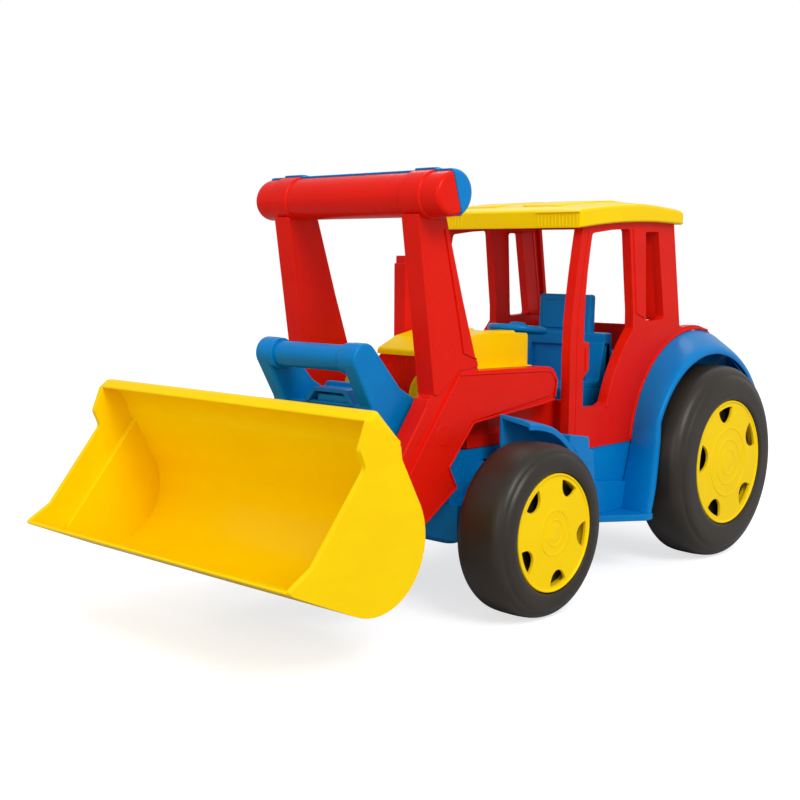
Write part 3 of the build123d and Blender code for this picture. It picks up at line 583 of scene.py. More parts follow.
class TRACTOR_OT_fenders(bpy.types.Operator):
    """Builds the flared rear fenders with their steps, and the front fenders"""
    bl_idname = "tractor.fenders"
    bl_label = "Fenders"

    def rear(self, side):
        _, high = mm_box("rear_fender_left")
        hub = joint_mm("rear_left_roll")
        edge_y = high.y
        near_y = 76.0
        count = 40
        near = [(-121, 44), (-124, 56), (-127, 68), (-131, 80), (-134.5, 91)]
        near += arc(*ARCH, 5.5, 128.0, count)
        far = [(-118, 44), (-121.5, 56), (-124.6, 68), (-127.4, 88), (-129.8, 108)]
        far += arc(hub.x, hub.z, LIP_R, 26.0, 146.0, count)
        section = [(0.0, 0.0), (0.2, 0.9), (0.45, 1.6), (0.66, 1.6), (0.82, 1.0), (0.92, 0.1), (0.98, -1.4),
                   (1.0, -3.2), (0.99, -5.6), (0.93, -5.8), (0.91, -4.2), (0.84, -2.6), (0.5, -2.0),
                   (0.0, -3.4)]
        rings = []
        for (nx, nz), (fx, fz) in zip(near, far):
            a = Vector((nx, near_y, nz))
            b = Vector((fx, edge_y, fz))
            out = Vector((fx - hub.x, 0, fz - hub.z)).normalized()
            rings.append([a.lerp(b, share) + out * rise for share, rise in section])
        shape = loft(rings)
        foot = soften([(-66.5, 74.5, 0), (-68, 77.5, 1), (-84, 85.6, 3), (-115.6, edge_y + 1.2, 3),
                       (-124, edge_y + 1.2, 1), (-124, 74.5, 0)], 2)
        shape += slab(foot, 44.0, 49.3, "Z")
        ledge = [(-68, 49), (-128, 49), (-128, 71.2), (-89.4, 76.0), (-68, 78.0)]
        shape += slab(ledge, 74.5, 79.4)
        inner = arc(ARCH[0], ARCH[1], ARCH[2] - 0.6, 5.2, 128, 40) + [(-296, 104.5)]
        shape += slab(inner, 72.2, 75.9)
        flap = [(72.4, 169), (76, 169), (104.5, 137), (104.5, 121), (72.4, 121)]
        shape += slab(flap, -299.4, -296.6, "X")
        return shape.on_side(side)

    def front(self, side):
        low, high = mm_box("front_fender_left")
        cx, cz, r = 58.0, 32.0, 111.5
        start = math.degrees(math.acos((high.x - cx) / r))
        end = math.degrees(math.acos((low.x - cx) / r))
        count = 26
        rings = []
        for px, pz in arc(cx, cz, r, start, end, count):
            out = Vector((px - cx, 0, pz - cz)).normalized()
            dip = Vector((0, 0, -4.6 * max(0.0, (px - 6) / 29)))
            y0, y1 = low.y, high.y
            section = [(y0, 0.0, 0.0), (y1 - 9, 0.3, 0.6), (y1 - 1.8, 0.0, 0.95), (y1 - 0.5, -0.5, 1.0),
                       (y1, -1.8, 1.0), (y1, -5.2, 1.0), (y1 - 2.2, -5.2, 1.0), (y1 - 2.6, -3.2, 1.0),
                       (y0, -3.2, 0.0)]
            rings.append([Vector((px, y, pz)) + out * rise + dip * share for y, rise, share in section])
        shape = loft(rings)
        under = arc(cx, cz, r - 2.8, start, end, count)
        shape += slab(under + [(low.x, 68.0), (high.x, 68.0)], low.y, low.y + 2.5)
        tab = soften([(-13, 117.2, 0), (-14, 123.6, 1.5), (-38.2, 119.8, 2), (-39.6, 110.4, 1),
                      (-45.1, 108.3, 1.5),
                      (-47.6, 84, 1), (-47.6, 73, 0), (-43.5, 77, 0), (-31, 98, 0), (-22, 110, 0)], 1)
        shape += slab(tab, high.y - 15, high.y - 1.0)
        return shape.on_side(side)

    def execute(self, context):
        for side, word in SIDES:
            make(f"rear_fender_shell_{word}", self.rear(side), "Blue moulding", "root",
                 [f"rear_fender_{word}"], bevel=0.9)
            make(f"front_fender_shell_{word}", self.front(side), "Blue moulding", "root",
                 [f"front_fender_{word}"], bevel=0.7)
        return {"FINISHED"}


# ------------------------------------------------------------------ red body
def roof_line(x):
    """Height of the roof's underside at x."""
    low, high = mm_box("roof")
    share = (high.x - x) / (high.x - low.x)
    return 278.0 + 6.0 * share + 3.5 * 4 * share * (1 - share)


class TRACTOR_OT_cab(bpy.types.Operator):
    """Builds the cab's moulded sides, its rear wall and the deck behind it"""
    bl_idname = "tractor.cab"
    bl_label = "Cab"

    def side_panel(self):
        low, high = mm_box("cab_side_left")
        y0, y1 = low.y, high.y
        top = [(x, roof_line(x) - 0.05) for x in (-64, -85, -110, -140, -170, -196.5)]
        base = low.z
        outline = [(-49, base, 0), (-49, 150, 0), (-49.2, 184, 0), (-50.1, 204, 0), (-52.4, 223, 0),
                   (-55.4, 243, 0), (-59, 262, 0), (-62.3, 277.5, 0)]
        outline += [(x, z, 0) for x, z in top]
        outline += [(-210.6, 197.2, 2)]
        for turn in (79, 82, 85, 88, 91, 94, 97, 100, 103, 105.5):
            swell = 4.6 * (1 - max(0.0, (turn - 84) / 22.5) ** 2)
            outline.append((*arc(ARCH[0], ARCH[1], ARCH[2] + swell, turn, turn + 1, 2)[0], 0))
        outline += [(x, z, 0) for x, z in arc(*ARCH, 105.5, 5.5, 30)] + [(-138, base, 0)]
        outline = soften(outline, 2)
        sill = arc(ARCH[0], ARCH[1], 143.0, 46.0, 18.0, 12)
        door = [(-67.2, 137.0, 1.5), (-67.3, 205, 0), (-68.2, 225, 0), (-70.4, 245, 0), (-73.3, 262, 0),
                (-75.8, 274.5, 4), (-102, 277.5, 0), (-128.5, 279, 4), (-133, 240, 0), (-136.5, 212, 5)]
        door += [(x, z, 0) for x, z in sill] + [(-93.5, 136.7, 2.5)]
        slot = [(-152.5, 277, 2.5), (-172, 277.5, 2.5), (-184.5, 204, 3), (-156.5, 202.5, 3)]
        panel = slab(outline, y0, y1, "Y", [soften(door, 3), soften(slot, 2.5)])
        raised = soften([(-141, 210, 2), (-137.5, 240, 0), (-133, 279, 1), (-150.5, 280, 1),
                         (-154.5, 205, 2)], 2)
        panel += slab(raised, y1 - 1, y1 + 0.9)
        panel += ribbon(arc(ARCH[0], ARCH[1], 142.9, 16.5, 46.5, 24), 2.5, y1 - 1, y1 + 1.1)
        panel += ribbon(arc(ARCH[0], ARCH[1], ARCH[2] + 2.4, 6, 103, 44), 2.4, y1 - 1, y1 + 1.0)
        rib_line = [(-57.6, 108), (-57.6, 186), (-58.6, 205), (-60.9, 224), (-63.9, 243), (-67.5, 262),
                    (-70.5, 276)]
        panel += ribbon(rib_line, 1.5, y1 - 1, y1 + 0.55)
        catch = soften([(-66, 189.4, 0), (-76.3, 188.8, 1.5), (-76.6, 166.8, 3), (-66, 157.5, 0)], 1.5)
        panel += slab(catch, y1 - 5.2, y1 - 0.8)
        pull = soften([(-70.6, 185, 0.8), (-73.4, 184.6, 0.8), (-73.4, 168.5, 0.8), (-70.6, 165.5, 0.8)], 0.8)
        panel += slab(pull, y1 - 1.2, y1 + 0.1)
        return panel

    def back_flange(self):
        """The inward web on the rear post's slot."""
        low, _ = mm_box("cab_side_left")
        top, foot = Vector((-172.5, 0, 279)), Vector((-185.5, 0, 203))
        rings = []
        for end in (foot, top):
            rings.append([end + Vector((0, low.y + 2, 0)), end + Vector((7.5, low.y - 17, 0)),
                          end + Vector((4.5, low.y - 17, 0)), end + Vector((-3.5, low.y + 2, 0))])
        return loft(rings)

    def execute(self, context):
        for side, word in SIDES:
            shape = self.side_panel() + self.back_flange()
            make(f"cab_moulding_{word}", shape.on_side(side), "Red moulding", "root", [f"cab_side_{word}"],
                 bevel=1.0)
        low, high = mm_box("rear_body")
        inside = high.y
        deck = [(-211, 195.8), (low.x, 190), (low.x, low.z), (low.x + 3.5, low.z), (low.x + 3.5, 186.7),
                (-211, 192.5)]
        shape = slab(deck, -inside, inside, ease=0.6)
        shape += slab([(-212, low.z), (-207, low.z), (-206.6, 197), (-211.6, 197)], -inside, inside)
        post = [(-211.9, 196), (-207.1, 196), (-193.8, roof_line(-196) - 0.2),
                (-198.6, roof_line(-198) - 0.2)]
        shape += slab(post, inside - 3, inside).both_sides()
        rail = [(-198.9, 281), (-194.2, 281), (-193.8, roof_line(-196) - 0.2),
                (-198.6, roof_line(-198) - 0.2)]
        shape += slab(rail, -inside + 2, inside - 2)
        shape += slab(soften([(-54, 114), (54, 114), (54, 180), (-54, 180)], 8), low.x - 0.8, low.x + 1.5,
                      "X")
        make("cab_rear_wall", shape, "Red moulding", "root", ["rear_body"], bevel=0.9)
        return {"FINISHED"}


class TRACTOR_OT_nose(bpy.types.Operator):
    """Builds the red nose with its ribbed grille and low front wall"""
    bl_idname = "tractor.nose"
    bl_label = "Nose"

    def execute(self, context):
        low, _ = mm_box("nose_body")
        face_x = 50.0
        top = 168.0
        half = 56.5
        section = soften([(-half, 114.1, 0), (half, 114.1, 0), (half, top, 5), (-half, top, 5)], 5)
        shape = slab(section, -58.0, face_x, "X")
        shape += brick(low.x, -57.0, -68.0, 68.0, low.z, 143.0)
        grille = soften([(-34, 118, 2), (34, 118, 2), (34, 181, 3), (-34, 181, 3)], 3)
        shape += slab(grille, 44.0, face_x + 0.4, "X")
        for k in range(14):
            y = -38 + 5.4 * k
            slat = [(y - 3, 120), (y - 1.4, 120), (y + 5.4, 179), (y + 3.8, 179)]
            shape += slab(slat, face_x - 0.5, face_x + 0.9, "X")
        for side in (1, -1):
            panel = soften([(-50, 122), (28, 122), (28, 150), (-20, 150), (-50, 146)], 4)
            shape += slab(panel, side * (half - 0.4), side * (half + 0.35))
        make("nose_box", shape, "Red moulding", "root", ["nose_body"], bevel=1.1)
        return {"FINISHED"}


# ------------------------------------------------------------------ yellow tops
class TRACTOR_OT_tops(bpy.types.Operator):
    """Builds the hood cover, the roof and the two lamps"""
    bl_idname = "tractor.tops"
    bl_label = "Hood, roof and lamps"

    def hood(self):
        low, high = mm_box("hood_cover")
        half = 35.0
        z0 = low.z
        profile = soften([(low.x, z0 + 1, 0), (low.x, high.z - 1.6, 3.0), (-20, high.z - 0.4, 0),
                          (12, high.z, 20),
                          (31, high.z - 3.6, 14), (high.x, 184.4, 3.2), (high.x, z0 + 12, 0),
                          (high.x, 180.4, 0),
                          (44, 180.4, 0), (44, z0 + 1, 0)], 2)
        shape = slab(profile, -half, half)
        flange = soften([(low.x - 0.3, -42), (44, -42), (44, 42), (low.x - 0.3, 42)], 5)
        shape += slab(flange, z0, z0 + 2.4, "Z")
        for side in (1, -1):
            for x0, x1 in ((-40, -14), (-6, 10)):
                pad = soften([(x0, side * 12), (x1, side * 12), (x1, side * 30), (x0, side * 30)], 3)
                shape += slab(pad, high.z - 2.4, high.z + 0.5, "Z")
        return shape

    def roof(self):
        low, high = mm_box("roof")
        half = high.y
        front, back = high.x, low.x
        rings = []
        stations = [0.0, 0.012, 0.04, 0.08, 0.14, 0.22, 0.32, 0.42, 0.52, 0.62, 0.72, 0.80, 0.87, 0.92, 0.96,
                    0.988, 1.0]
        for share in stations:
            x = front + (back - front) * share
            under = roof_line(x) + 0.05
            edge = under + 14.5 - 3.0 * max(0.0, share - 0.6) / 0.4
            ease = min(1.0, share / 0.04, (1 - share) / 0.04)
            swell = min(1.0, share / 0.30, (1 - share) / 0.14)
            swell = math.sin(swell * math.pi / 2)
            crown = edge + 0.7 + 2.2 * swell
            tuck = 2.2 * (1 - math.sin(ease * math.pi / 2))
            w = half - tuck
            row = [(-w + 1.2, under), (-w, under + 1.0), (-w, edge - 3.0), (-w + 1.0, edge - 0.9),
                   (-w + 3.2, edge - tuck)]
            for k in range(1, 8):
                y = -w + 3.2 + (w - 3.2) * k / 8
                bow = math.sin(min(1.0, k / 5) * math.pi / 2)
                row.append((y, edge - tuck + (crown - edge) * bow))
            row.append((0.0, crown - tuck))
            row += [(-y, z) for y, z in row[:-1][::-1]]
            rings.append([Vector((x, y, z)) for y, z in row])
        shape = loft(rings)
        for side in (1, -1):
            near, far = sorted((side * 38, side * 80))
            shape += brick(front - 3.2, front + 1.2, near, far, 289.6, 291.0)
            for k in range(12):
                y = side * (39.6 + 3.4 * k)
                shape += brick(front - 1, front + 0.3, y - 0.8, y + 0.8, 279.4, 289.0)
            panel = soften([(-66, side * 12), (-112, side * 12), (-112, side * 58), (-66, side * 50)], 6)
            rim = [Vector((x, y, roof_line(x) + 14.5 + 3.1 + 0.8 * min(1, (-60 - x) / 30) - abs(y) * 0.012))
                   for x, y in panel]
            shape += loft([[p - Vector((0, 0, 3)) for p in rim], rim])
            panel2 = soften([(-122, side * 12), (-184, side * 12), (-184, side * 54), (-122, side * 58)], 6)
            rim2 = [Vector((x, y, roof_line(x) + 14.5 + 4.0 - abs(y) * 0.012 - 3.2 * max(0, (-145 - x) / 60)))
                    for x, y in panel2]
            shape += loft([[p - Vector((0, 0, 3)) for p in rim2], rim2])
        return shape

    def lamp(self, side):
        """A pod that widens to the front, flat where it rests above the tub's riser."""
        low, high = mm_box("headlight_left")
        r = (high.y - low.y) / 2
        neck = r * 0.78
        cy, cz = (low.y + high.y) / 2, high.z - r
        rings = []
        for x, q in ((low.x, neck), (high.x - 2.2, r - 0.5), (high.x - 0.9, r), (high.x, r - 0.7),
                     (high.x, r - 2.6),
                     (high.x - 1.6, r - 4.0), (high.x - 1.8, r * 0.6), (high.x - 1.0, r * 0.3),
                     (high.x - 0.9, r * 0.02)):
            floor_z = low.z if x < low.x + 3 else 150.4
            rings.append([Vector((x, cy + q * math.cos(t), max(cz + q * math.sin(t), floor_z)))
                          for t in (2 * math.pi * k / 72 for k in range(72))])
        return loft(rings).on_side(side)

    def execute(self, context):
        make("hood_top", self.hood(), "Yellow moulding", "root", ["hood_cover"], bevel=1.6)
        make("roof_top", self.roof(), "Yellow moulding", "root", ["roof"], bevel=0.8)
        for side, word in SIDES:
            make(f"lamp_{word}", self.lamp(side), "Yellow moulding", "root", [f"headlight_{word}"], bevel=0.0)
        return {"FINISHED"}


class TRACTOR_OT_stack(bpy.types.Operator):
    """Builds the square exhaust stack"""
    bl_idname = "tractor.stack"
    bl_label = "Exhaust stack"

    def execute(self, context):
        low, high = mm_box("exhaust_stack")
        post = soften([(low.x, low.y), (high.x, low.y), (high.x, high.y), (low.x, high.y)], 1.5)
        shape = slab(post, low.z, high.z - 6, "Z")
        shape += slab(soften([(low.x + 1, low.y + 1), (high.x - 1, low.y + 1), (high.x - 1, high.y - 1),
                              (low.x + 1, high.y - 1)], 1.5), high.z - 8, high.z, "Z",
                      [soften([(low.x + 3.2, low.y + 3.2), (high.x - 3.2, low.y + 3.2),
                               (high.x - 3.2, high.y - 3.2), (low.x + 3.2, high.y - 3.2)], 1)])
        make("stack_post", shape, "Red moulding", "root", ["exhaust_stack"], bevel=0.8)
        return {"FINISHED"}


# ------------------------------------------------------------------ cab interior
class TRACTOR_OT_seat(bpy.types.Operator):
    """Builds the moulded seat"""
    bl_idname = "tractor.seat"
    bl_label = "Seat"

    def execute(self, context):
        low, high = mm_box("seat")
        half = high.y
        back_x, back_t, shoulder = -144.0, 9.0, 192.0
        rear = back_x - back_t
        side = soften([(-96, low.z, 0), (-96, 150, 5), (-141, 146, 4), (back_x, shoulder, 3),
                       (rear, shoulder, 3),
                       (rear, 174, 2), (low.x, 174, 2), (low.x, low.z, 0)], 4)
        shape = slab(side, -half, half)
        head = soften([(back_x, 186, 0), (back_x - 3, high.z, 3), (rear - 1, high.z, 3), (rear, 186, 0)], 4)
        shape += slab(head, -27.5, 27.5)
        brow = soften([(back_x - 1, 181, 0), (back_x + 3.4, 180, 1.5), (back_x + 2.6, shoulder, 2.5),
                       (back_x - 2, shoulder, 0)], 2)
        shape += slab(brow, -half, half)
        for s in (1, -1):
            bolster = soften([(-100, 148, 0), (-101, 154, 2), (-134, 151, 4), (back_x + 3.4, 184, 1),
                              (-150, 184, 0), (-150, 146, 0)], 2)
            shape += slab(bolster, s * 31, s * half)
        pad = soften([(-22, 194), (22, 194), (22, 219), (-22, 219)], 3)
        shape += slab(pad, back_x - 4, back_x + 0.8, "X")
        make("seat_moulding", shape, "Blue moulding", "root", ["seat"], bevel=2.0)
        return {"FINISHED"}


class TRACTOR_OT_steering(bpy.types.Operator):
    """Builds the steering wheel and its column"""
    bl_idname = "tractor.steering"
    bl_label = "Steering wheel"

    def execute(self, context):
        pivot = joint_mm("steering_turn")
        axis = next(Vector(j["axis"]) for j in frame["joints"] if j["name"] == "steering_turn")
        low, high = mm_box("steering_wheel")
        r = (high.y - low.y) / 2
        grip = 3.1
        rim = [(grip * math.sin(math.radians(a)), r - grip + grip * math.cos(math.radians(a)))
               for a in range(0, 360, 24)]
        shape = turned(rim, pivot, axis, 72)
        hub = [(-6.4, 3.2), (-6.4, 7.0), (3.5, 7.6), (5.4, 6.0), (5.9, 3.0), (5.9, 0.01), (2.9, 0.01),
               (2.9, 3.2)]
        shape += turned(hub, pivot, axis, 40)
        across = Vector((0, 1, 0))
        up = axis.cross(across).normalized()
        for turn in (90, 210, 330):
            t = math.radians(turn)
            out = across * math.cos(t) + up * math.sin(t)
            wide = axis.cross(out).normalized()
            rings = []
            for d, w in ((5.5, 3.6), (12, 2.6), (r - grip, 2.9)):
                c = pivot + out * d
                rings.append([c + wide * w - axis * 1.4, c + wide * w + axis * 1.6,
                              c - wide * w + axis * 1.6, c - wide * w - axis * 1.4])
            shape += loft(rings)
        make("steering_rim", shape, "Blue moulding", "steering", ["steering_wheel"], bevel=0.6, angle=50)
        return {"FINISHED"}


# ------------------------------------------------------------------ loader
class TRACTOR_OT_loader(bpy.types.Operator):
    """Builds the two loader arms with their masts, and the push bar"""
    bl_idname = "tractor.loader"
    bl_label = "Loader arms and push bar"

    def arm(self):
        _, high = mm_box("loader_arm_left")
        lift = joint_mm("loader_lift")
        tilt = joint_mm("bucket_tilt")
        y0, y1 = 57.6, high.y - 1.5
        heel = arc(lift.x, lift.z, 13.5, 92, 252, 14)
        toe = arc(tilt.x, tilt.z, 16.3, -122, 37, 14)
        base = [(93.5, 283.5, 0), (74.8, 226, 0), (56.4, 173.8, 3)] + [(a, b, 0) for a, b in heel]
        base += [(54.1, 137.1, 5), (62.7, 135.9, 3), (88, 107.8, 1), (79.3, 91, 1)]
        base += [(a, b, 0) for a, b in toe]
        base += [(113.4, 151.3, 3), (110, 157.3, 3), (105.2, 158.5, 4), (124.2, 283.5, 0)]
        shape = slab(soften(base, 2), y0, y1)
        skin = [(78.4, 171.6, 2), (-22, 168.8, 5)] + [(a, b, 0) for a,
                                                      b in arc(lift.x + 2.0, lift.z, 10.0, 105, 245, 12)]
        skin += [(54.4, 138.8, 4), (63.8, 137.4, 3), (90.6, 107.6, 1), (82, 92.2, 1), (116, 70.9, 1),
                 (146, 51.6, 6), (160, 48, 6), (171, 53.5, 5), (172.5, 62, 5), (130, 106.1, 0),
                 (112.1, 129.3, 0)]
        shape += slab(soften(skin, 2), y1 - 1, y1 + 1.5)
        lip = [(-34.0, 147.4), (-17, 145.0), (54.3, 138.6), (63.5, 137.3), (90.4, 107.6), (81.8, 92.4),
               (115.6, 71.2)]
        shape += ribbon(lip, -1.5, y1 - 1, y1 + 2.2)
        seam = [(78.0, 171.4), (-20, 168.7), (-29, 167.6), (-36, 160), (-34.6, 148.6)]
        shape += ribbon(seam, -1.3, y1 - 1, y1 + 2.0)
        edge = [(78.6, 171.4), (112.4, 128.6), (130, 106.1), (171.2, 62.4)]
        shape += ribbon(edge, 1.3, y1 - 1, y1 + 2.2)
        front_strip = [(112.0, 156.8, 2), (107.2, 154.6, 3), (104.6, 148, 2), (133.5, 110.4, 0),
                       (139, 117.5, 0),
                       (113.6, 151.4, 2)]
        shape += slab(soften(front_strip, 2), y1 - 1, y1 + 0.9)
        shape += ribbon([(105.6, 159.6), (124.0, 283.0)], 1.7, y1 - 1, y1 + 1.5)
        shape += ribbon([(105.6, 159.6), (124.0, 283.0)], 1.7, y0 - 0.7, y0 + 1)
        groove = [(94.6, 274.0), (78.6, 211.6), (73.2, 188.0), (59.4, 183.0)]
        shape += ribbon(groove, 1.2, y1 - 1, y1 + 1.3)
        mast = [(99.5, 283.5, 0), (81.2, 211, 3), (75.2, 186.4, 5), (58.8, 181.6, 2), (57.6, 176.8, 1),
                (79.2, 174.6, 0),
                (101.0, 158.8, 2), (104.2, 159.4, 2), (123, 283.5, 0)]
        shape += slab(soften(mast, 2), y1 - 1, y1 + 0.8)
        shape += slab(circle(95.5, 131, 8.2, 40), y1 + 0.5, y1 + 1.75)
        boss = [(51.6, 5.2), (51.6, 9.0), (58, 9.0), (58, 5.2)]
        shape += turned(boss, (tilt.x, 0, tilt.z), "Y", 40)
        return shape

    def bar(self, blue):
        _, high = mm_box("push_bar_front")
        half = high.y
        centre = Vector((109.0, 0, 297.0))
        depth, height = 19.0, 16.5
        lean = math.radians(-17.0)
        cut = -3.0
        edge = math.degrees(math.acos(cut / depth))
        if blue:
            turns = [edge + (360 - 2 * edge) * k / 20 for k in range(21)]
        else:
            turns = [-edge + 2 * edge * k / 24 for k in range(25)]
        rings = []
        ends = [(0.0, 3.4), (0.35, 2.1), (1.0, 1.0), (2.0, 0.35), (3.4, 0.0)]
        stations = [(-half + y, inset) for y, inset in ends]
        stations += [(s * y, 0.0) for s, y in ((-1, 76.0), (-1, 75.4), (-1, 57.4), (-1, 56.8), (1, 56.8),
                                               (1, 57.4), (1, 75.4), (1, 76.0))]
        stations += [(half - y, inset) for y, inset in ends[::-1]]
        for y, inset in stations:
            slim = inset + (0.0 if 57 < abs(y) < 75.8 else 1.3) - (1.5 if blue else 0.0)
            a, b = depth - slim, height - slim
            ring = []
            for t in turns:
                x, z = a * math.cos(math.radians(t)), b * math.sin(math.radians(t))
                x = min(x, cut - 0.15) if blue else max(x, cut + 0.15)
                ring.append(centre + Vector((x * math.cos(lean) - z * math.sin(lean), y,
                                             x * math.sin(lean) + z * math.cos(lean))))
            rings.append(ring)
        return loft(rings)

    def execute(self, context):
        for side, word in SIDES:
            make(f"arm_moulding_{word}", self.arm().on_side(side), "Red moulding", "loader",
                 [f"loader_arm_{word}"], bevel=1.0)
        make("bar_front_shell", self.bar(False), "Red moulding", "loader", ["push_bar_front"], bevel=0.7,
             angle=40)
        make("bar_rear_shell", self.bar(True), "Blue moulding", "loader", ["push_bar_rear"], bevel=0.7,
             angle=40)
        return {"FINISHED"}


class TRACTOR_OT_lever(bpy.types.Operator):
    """Builds the tilt lever with its grip and mounting pad"""
    bl_idname = "tractor.lever"
    bl_label = "Tilt lever"

    def execute(self, context):
        gx, gz, boss_r = 150.9, 185.2, 11.5
        y0, y1 = 38.0, 51.0
        grip = [(a, b, 0) for a, b in arc(gx, gz, boss_r, -27, 143, 14)]
        outline = grip + [(116.3, 163.9, 6), (101.5, 155.5, 3), (102, 140, 4), (128, 84, 4), (146, 46, 4),
                          (182, 46, 3),
                          (182, 100, 3), (164, 104, 4), (150, 124, 8), (144.5, 150.7, 8)]
        shape = slab(soften(outline, 3), y0, y1).both_sides()
        shape += rod((gx, -y0 - 1, gz), (gx, y0 + 1, gz), 9.2, 0, 48)
        for s in (1, -1):
            shape += rod((gx, s * (y0 + 2), gz), (gx, s * (y0 - 4.4), gz), 11.2, 0.9, 48)
        brow = soften([(-y0 - 1, 146, 0), (-y0 - 1, 153.0, 2), (-28, 154.5, 3), (-19, 164.6, 2.5),
                       (19, 164.6, 2.5),
                       (28, 154.5, 3), (y0 + 1, 153.0, 2), (y0 + 1, 146, 0)], 2)
        shape += slab(brow, 117.0, 121.0, "X", (), 1.0)
        crest = soften([(-27, 150.4, 0), (-17.5, 161.4, 2.5), (17.5, 161.4, 2.5), (27, 150.4, 0),
                        (21.5, 150.4, 0),
                        (14.5, 158.4, 2), (-14.5, 158.4, 2), (-21.5, 150.4, 0)], 2)
        shape += slab(crest, 120.0, 137.5, "X", (), 0.8)
        tray = soften([(116, -y0 - 1, 0), (140, -y0 - 1, 0), (140, -29, 2), (136, -22, 3), (136, 22, 3),
                       (140, 29, 2),
                       (140, y0 + 1, 0), (116, y0 + 1, 0)], 2)
        shape += slab(tray, 149.0, 152.0, "Z")
        shape += slab(soften([(-16, 150.5), (16, 150.5), (16, 156.6), (-16, 156.6)], 1.5), 131.0, 133.4, "X")
        low_step = soften([(101, -y0 - 1, 0), (132, -y0 - 1, 0), (128, -19, 3), (128, 19, 3),
                           (132, y0 + 1, 0),
                           (101, y0 + 1, 0)], 2)
        shape += slab(low_step, 139.0, 142.5, "Z")
        shape += slab(soften([(174, 66), (182, 66), (182, 96), (174, 96)], 1.5), -y0 - 0.5, y0 + 0.5)
        make("lever_moulding", shape, "Blue moulding", "bucket_body", ["tilt_lever"], bevel=2.0, segments=4)
        return {"FINISHED"}


class TRACTOR_OT_bucket(bpy.types.Operator):
    """Builds the bucket: sides, curved plate, stepped rim and thick lip"""
    bl_idname = "tractor.bucket"
    bl_label = "Bucket"

    def execute(self, context):
        _, high = mm_box("bucket")
        half = high.y
        tip = (high.x, 67.8)
        cx, cz, r = 229.5, 84.0, 43.0
        wall = 4.0
        back = arc(cx, cz, r, 152, 293.5, 40)
        side_outline = [(tip[0], tip[1], 2.5), (280, 79.5, 4), (238.2, 131, 5), (243.3, 142.2, 4),
                        (236.5, 158.8, 3),
                        (231.5, 164.3, 1.5), (227.5, 164.5, 1.5), (209.4, 144.4, 2), (211, 139, 4)]
        side_outline += [(a, b, 0) for a, b in back]
        side_outline = soften(side_outline, 2)
        rings = []
        for depth, drop in ((wall, 0.0), (2.6, 0.5), (1.4, 1.5), (0.5, 3.2), (0.0, 5.6)):
            y = half - depth
            rings.append([Vector((x, y, min(z, 164.4 - drop - 0.25 * max(0.0, 231.5 - x) * (drop > 3))))
                          for x, z in side_outline])
        sides = loft(rings)
        inner_zone = [(204.8, 141.7, 0), (270.6, 62.3, 1), (272, 58.2, 0), (250, 48.5, 0)]
        inner_zone += [(a, b, 0) for a, b in arc(cx, cz, r - 1.0, 290, 152, 36)] + [(203, 128, 0)]
        sides += slab(soften(inner_zone, 1), half - wall - 5.0, half - wall + 0.5)
        shape = sides.both_sides()
        outer = [(211, 139)] + back + [(tip[0] - 0.5, tip[1] - 0.2)]
        inner_back = arc(cx, cz, r - wall, 293.5, 152, 40)
        inner = [(tip[0] - 1.0, tip[1] + 1.4), (tip[0] - 8, tip[1] + 0.6)] + inner_back
        inner += [(200.5, 112.8), (206.0, 123.3), (210.6, 132.0), (213.2, 137.4), (214.6, 141.0),
                  (215.4, 144.6),
                  (217.3, 148.6), (221.0, 153.2), (225.0, 157.6), (228.5, 158.7), (236.0, 158.4),
                  (236.2, 159.6),
                  (232, 164.3), (227.6, 164.5), (209.6, 144.6)]
        shape += slab(outer + inner, -half + wall - 0.6, half - wall + 0.6)
        pad_back = [(182.0, 96), (182.0, 66)] + arc(cx, cz, r - 1.5, 205, 163.5, 10)
        shape += slab(pad_back, -51, 51)
        make("bucket_moulding", shape, "Yellow moulding", "bucket_body", ["bucket"], bevel=1.1, angle=28)
        return {"FINISHED"}


class TRACTOR_OT_chassis(bpy.types.Operator):
    """Gives the tub, axles, pins and screws their finishes"""
    bl_idname = "tractor.chassis"
    bl_label = "Chassis and fixings"

    def execute(self, context):
        finishes = {
            "chassis_tub": "Blue moulding", "steering_column": "Blue moulding", "lift_pins": "Blue moulding",
            "tilt_pins": "Blue moulding", "front_axle": "Plain steel", "rear_axle": "Plain steel",
            "axle_push_nuts": "Plain steel", "body_screws": "Plain steel",
        }
        for node, finish in finishes.items():
            slots = frame["nodes"][node].material_slots
            for place in slots:
                place.link = "OBJECT"
                place.material = material(finish)
        return {"FINISHED"}


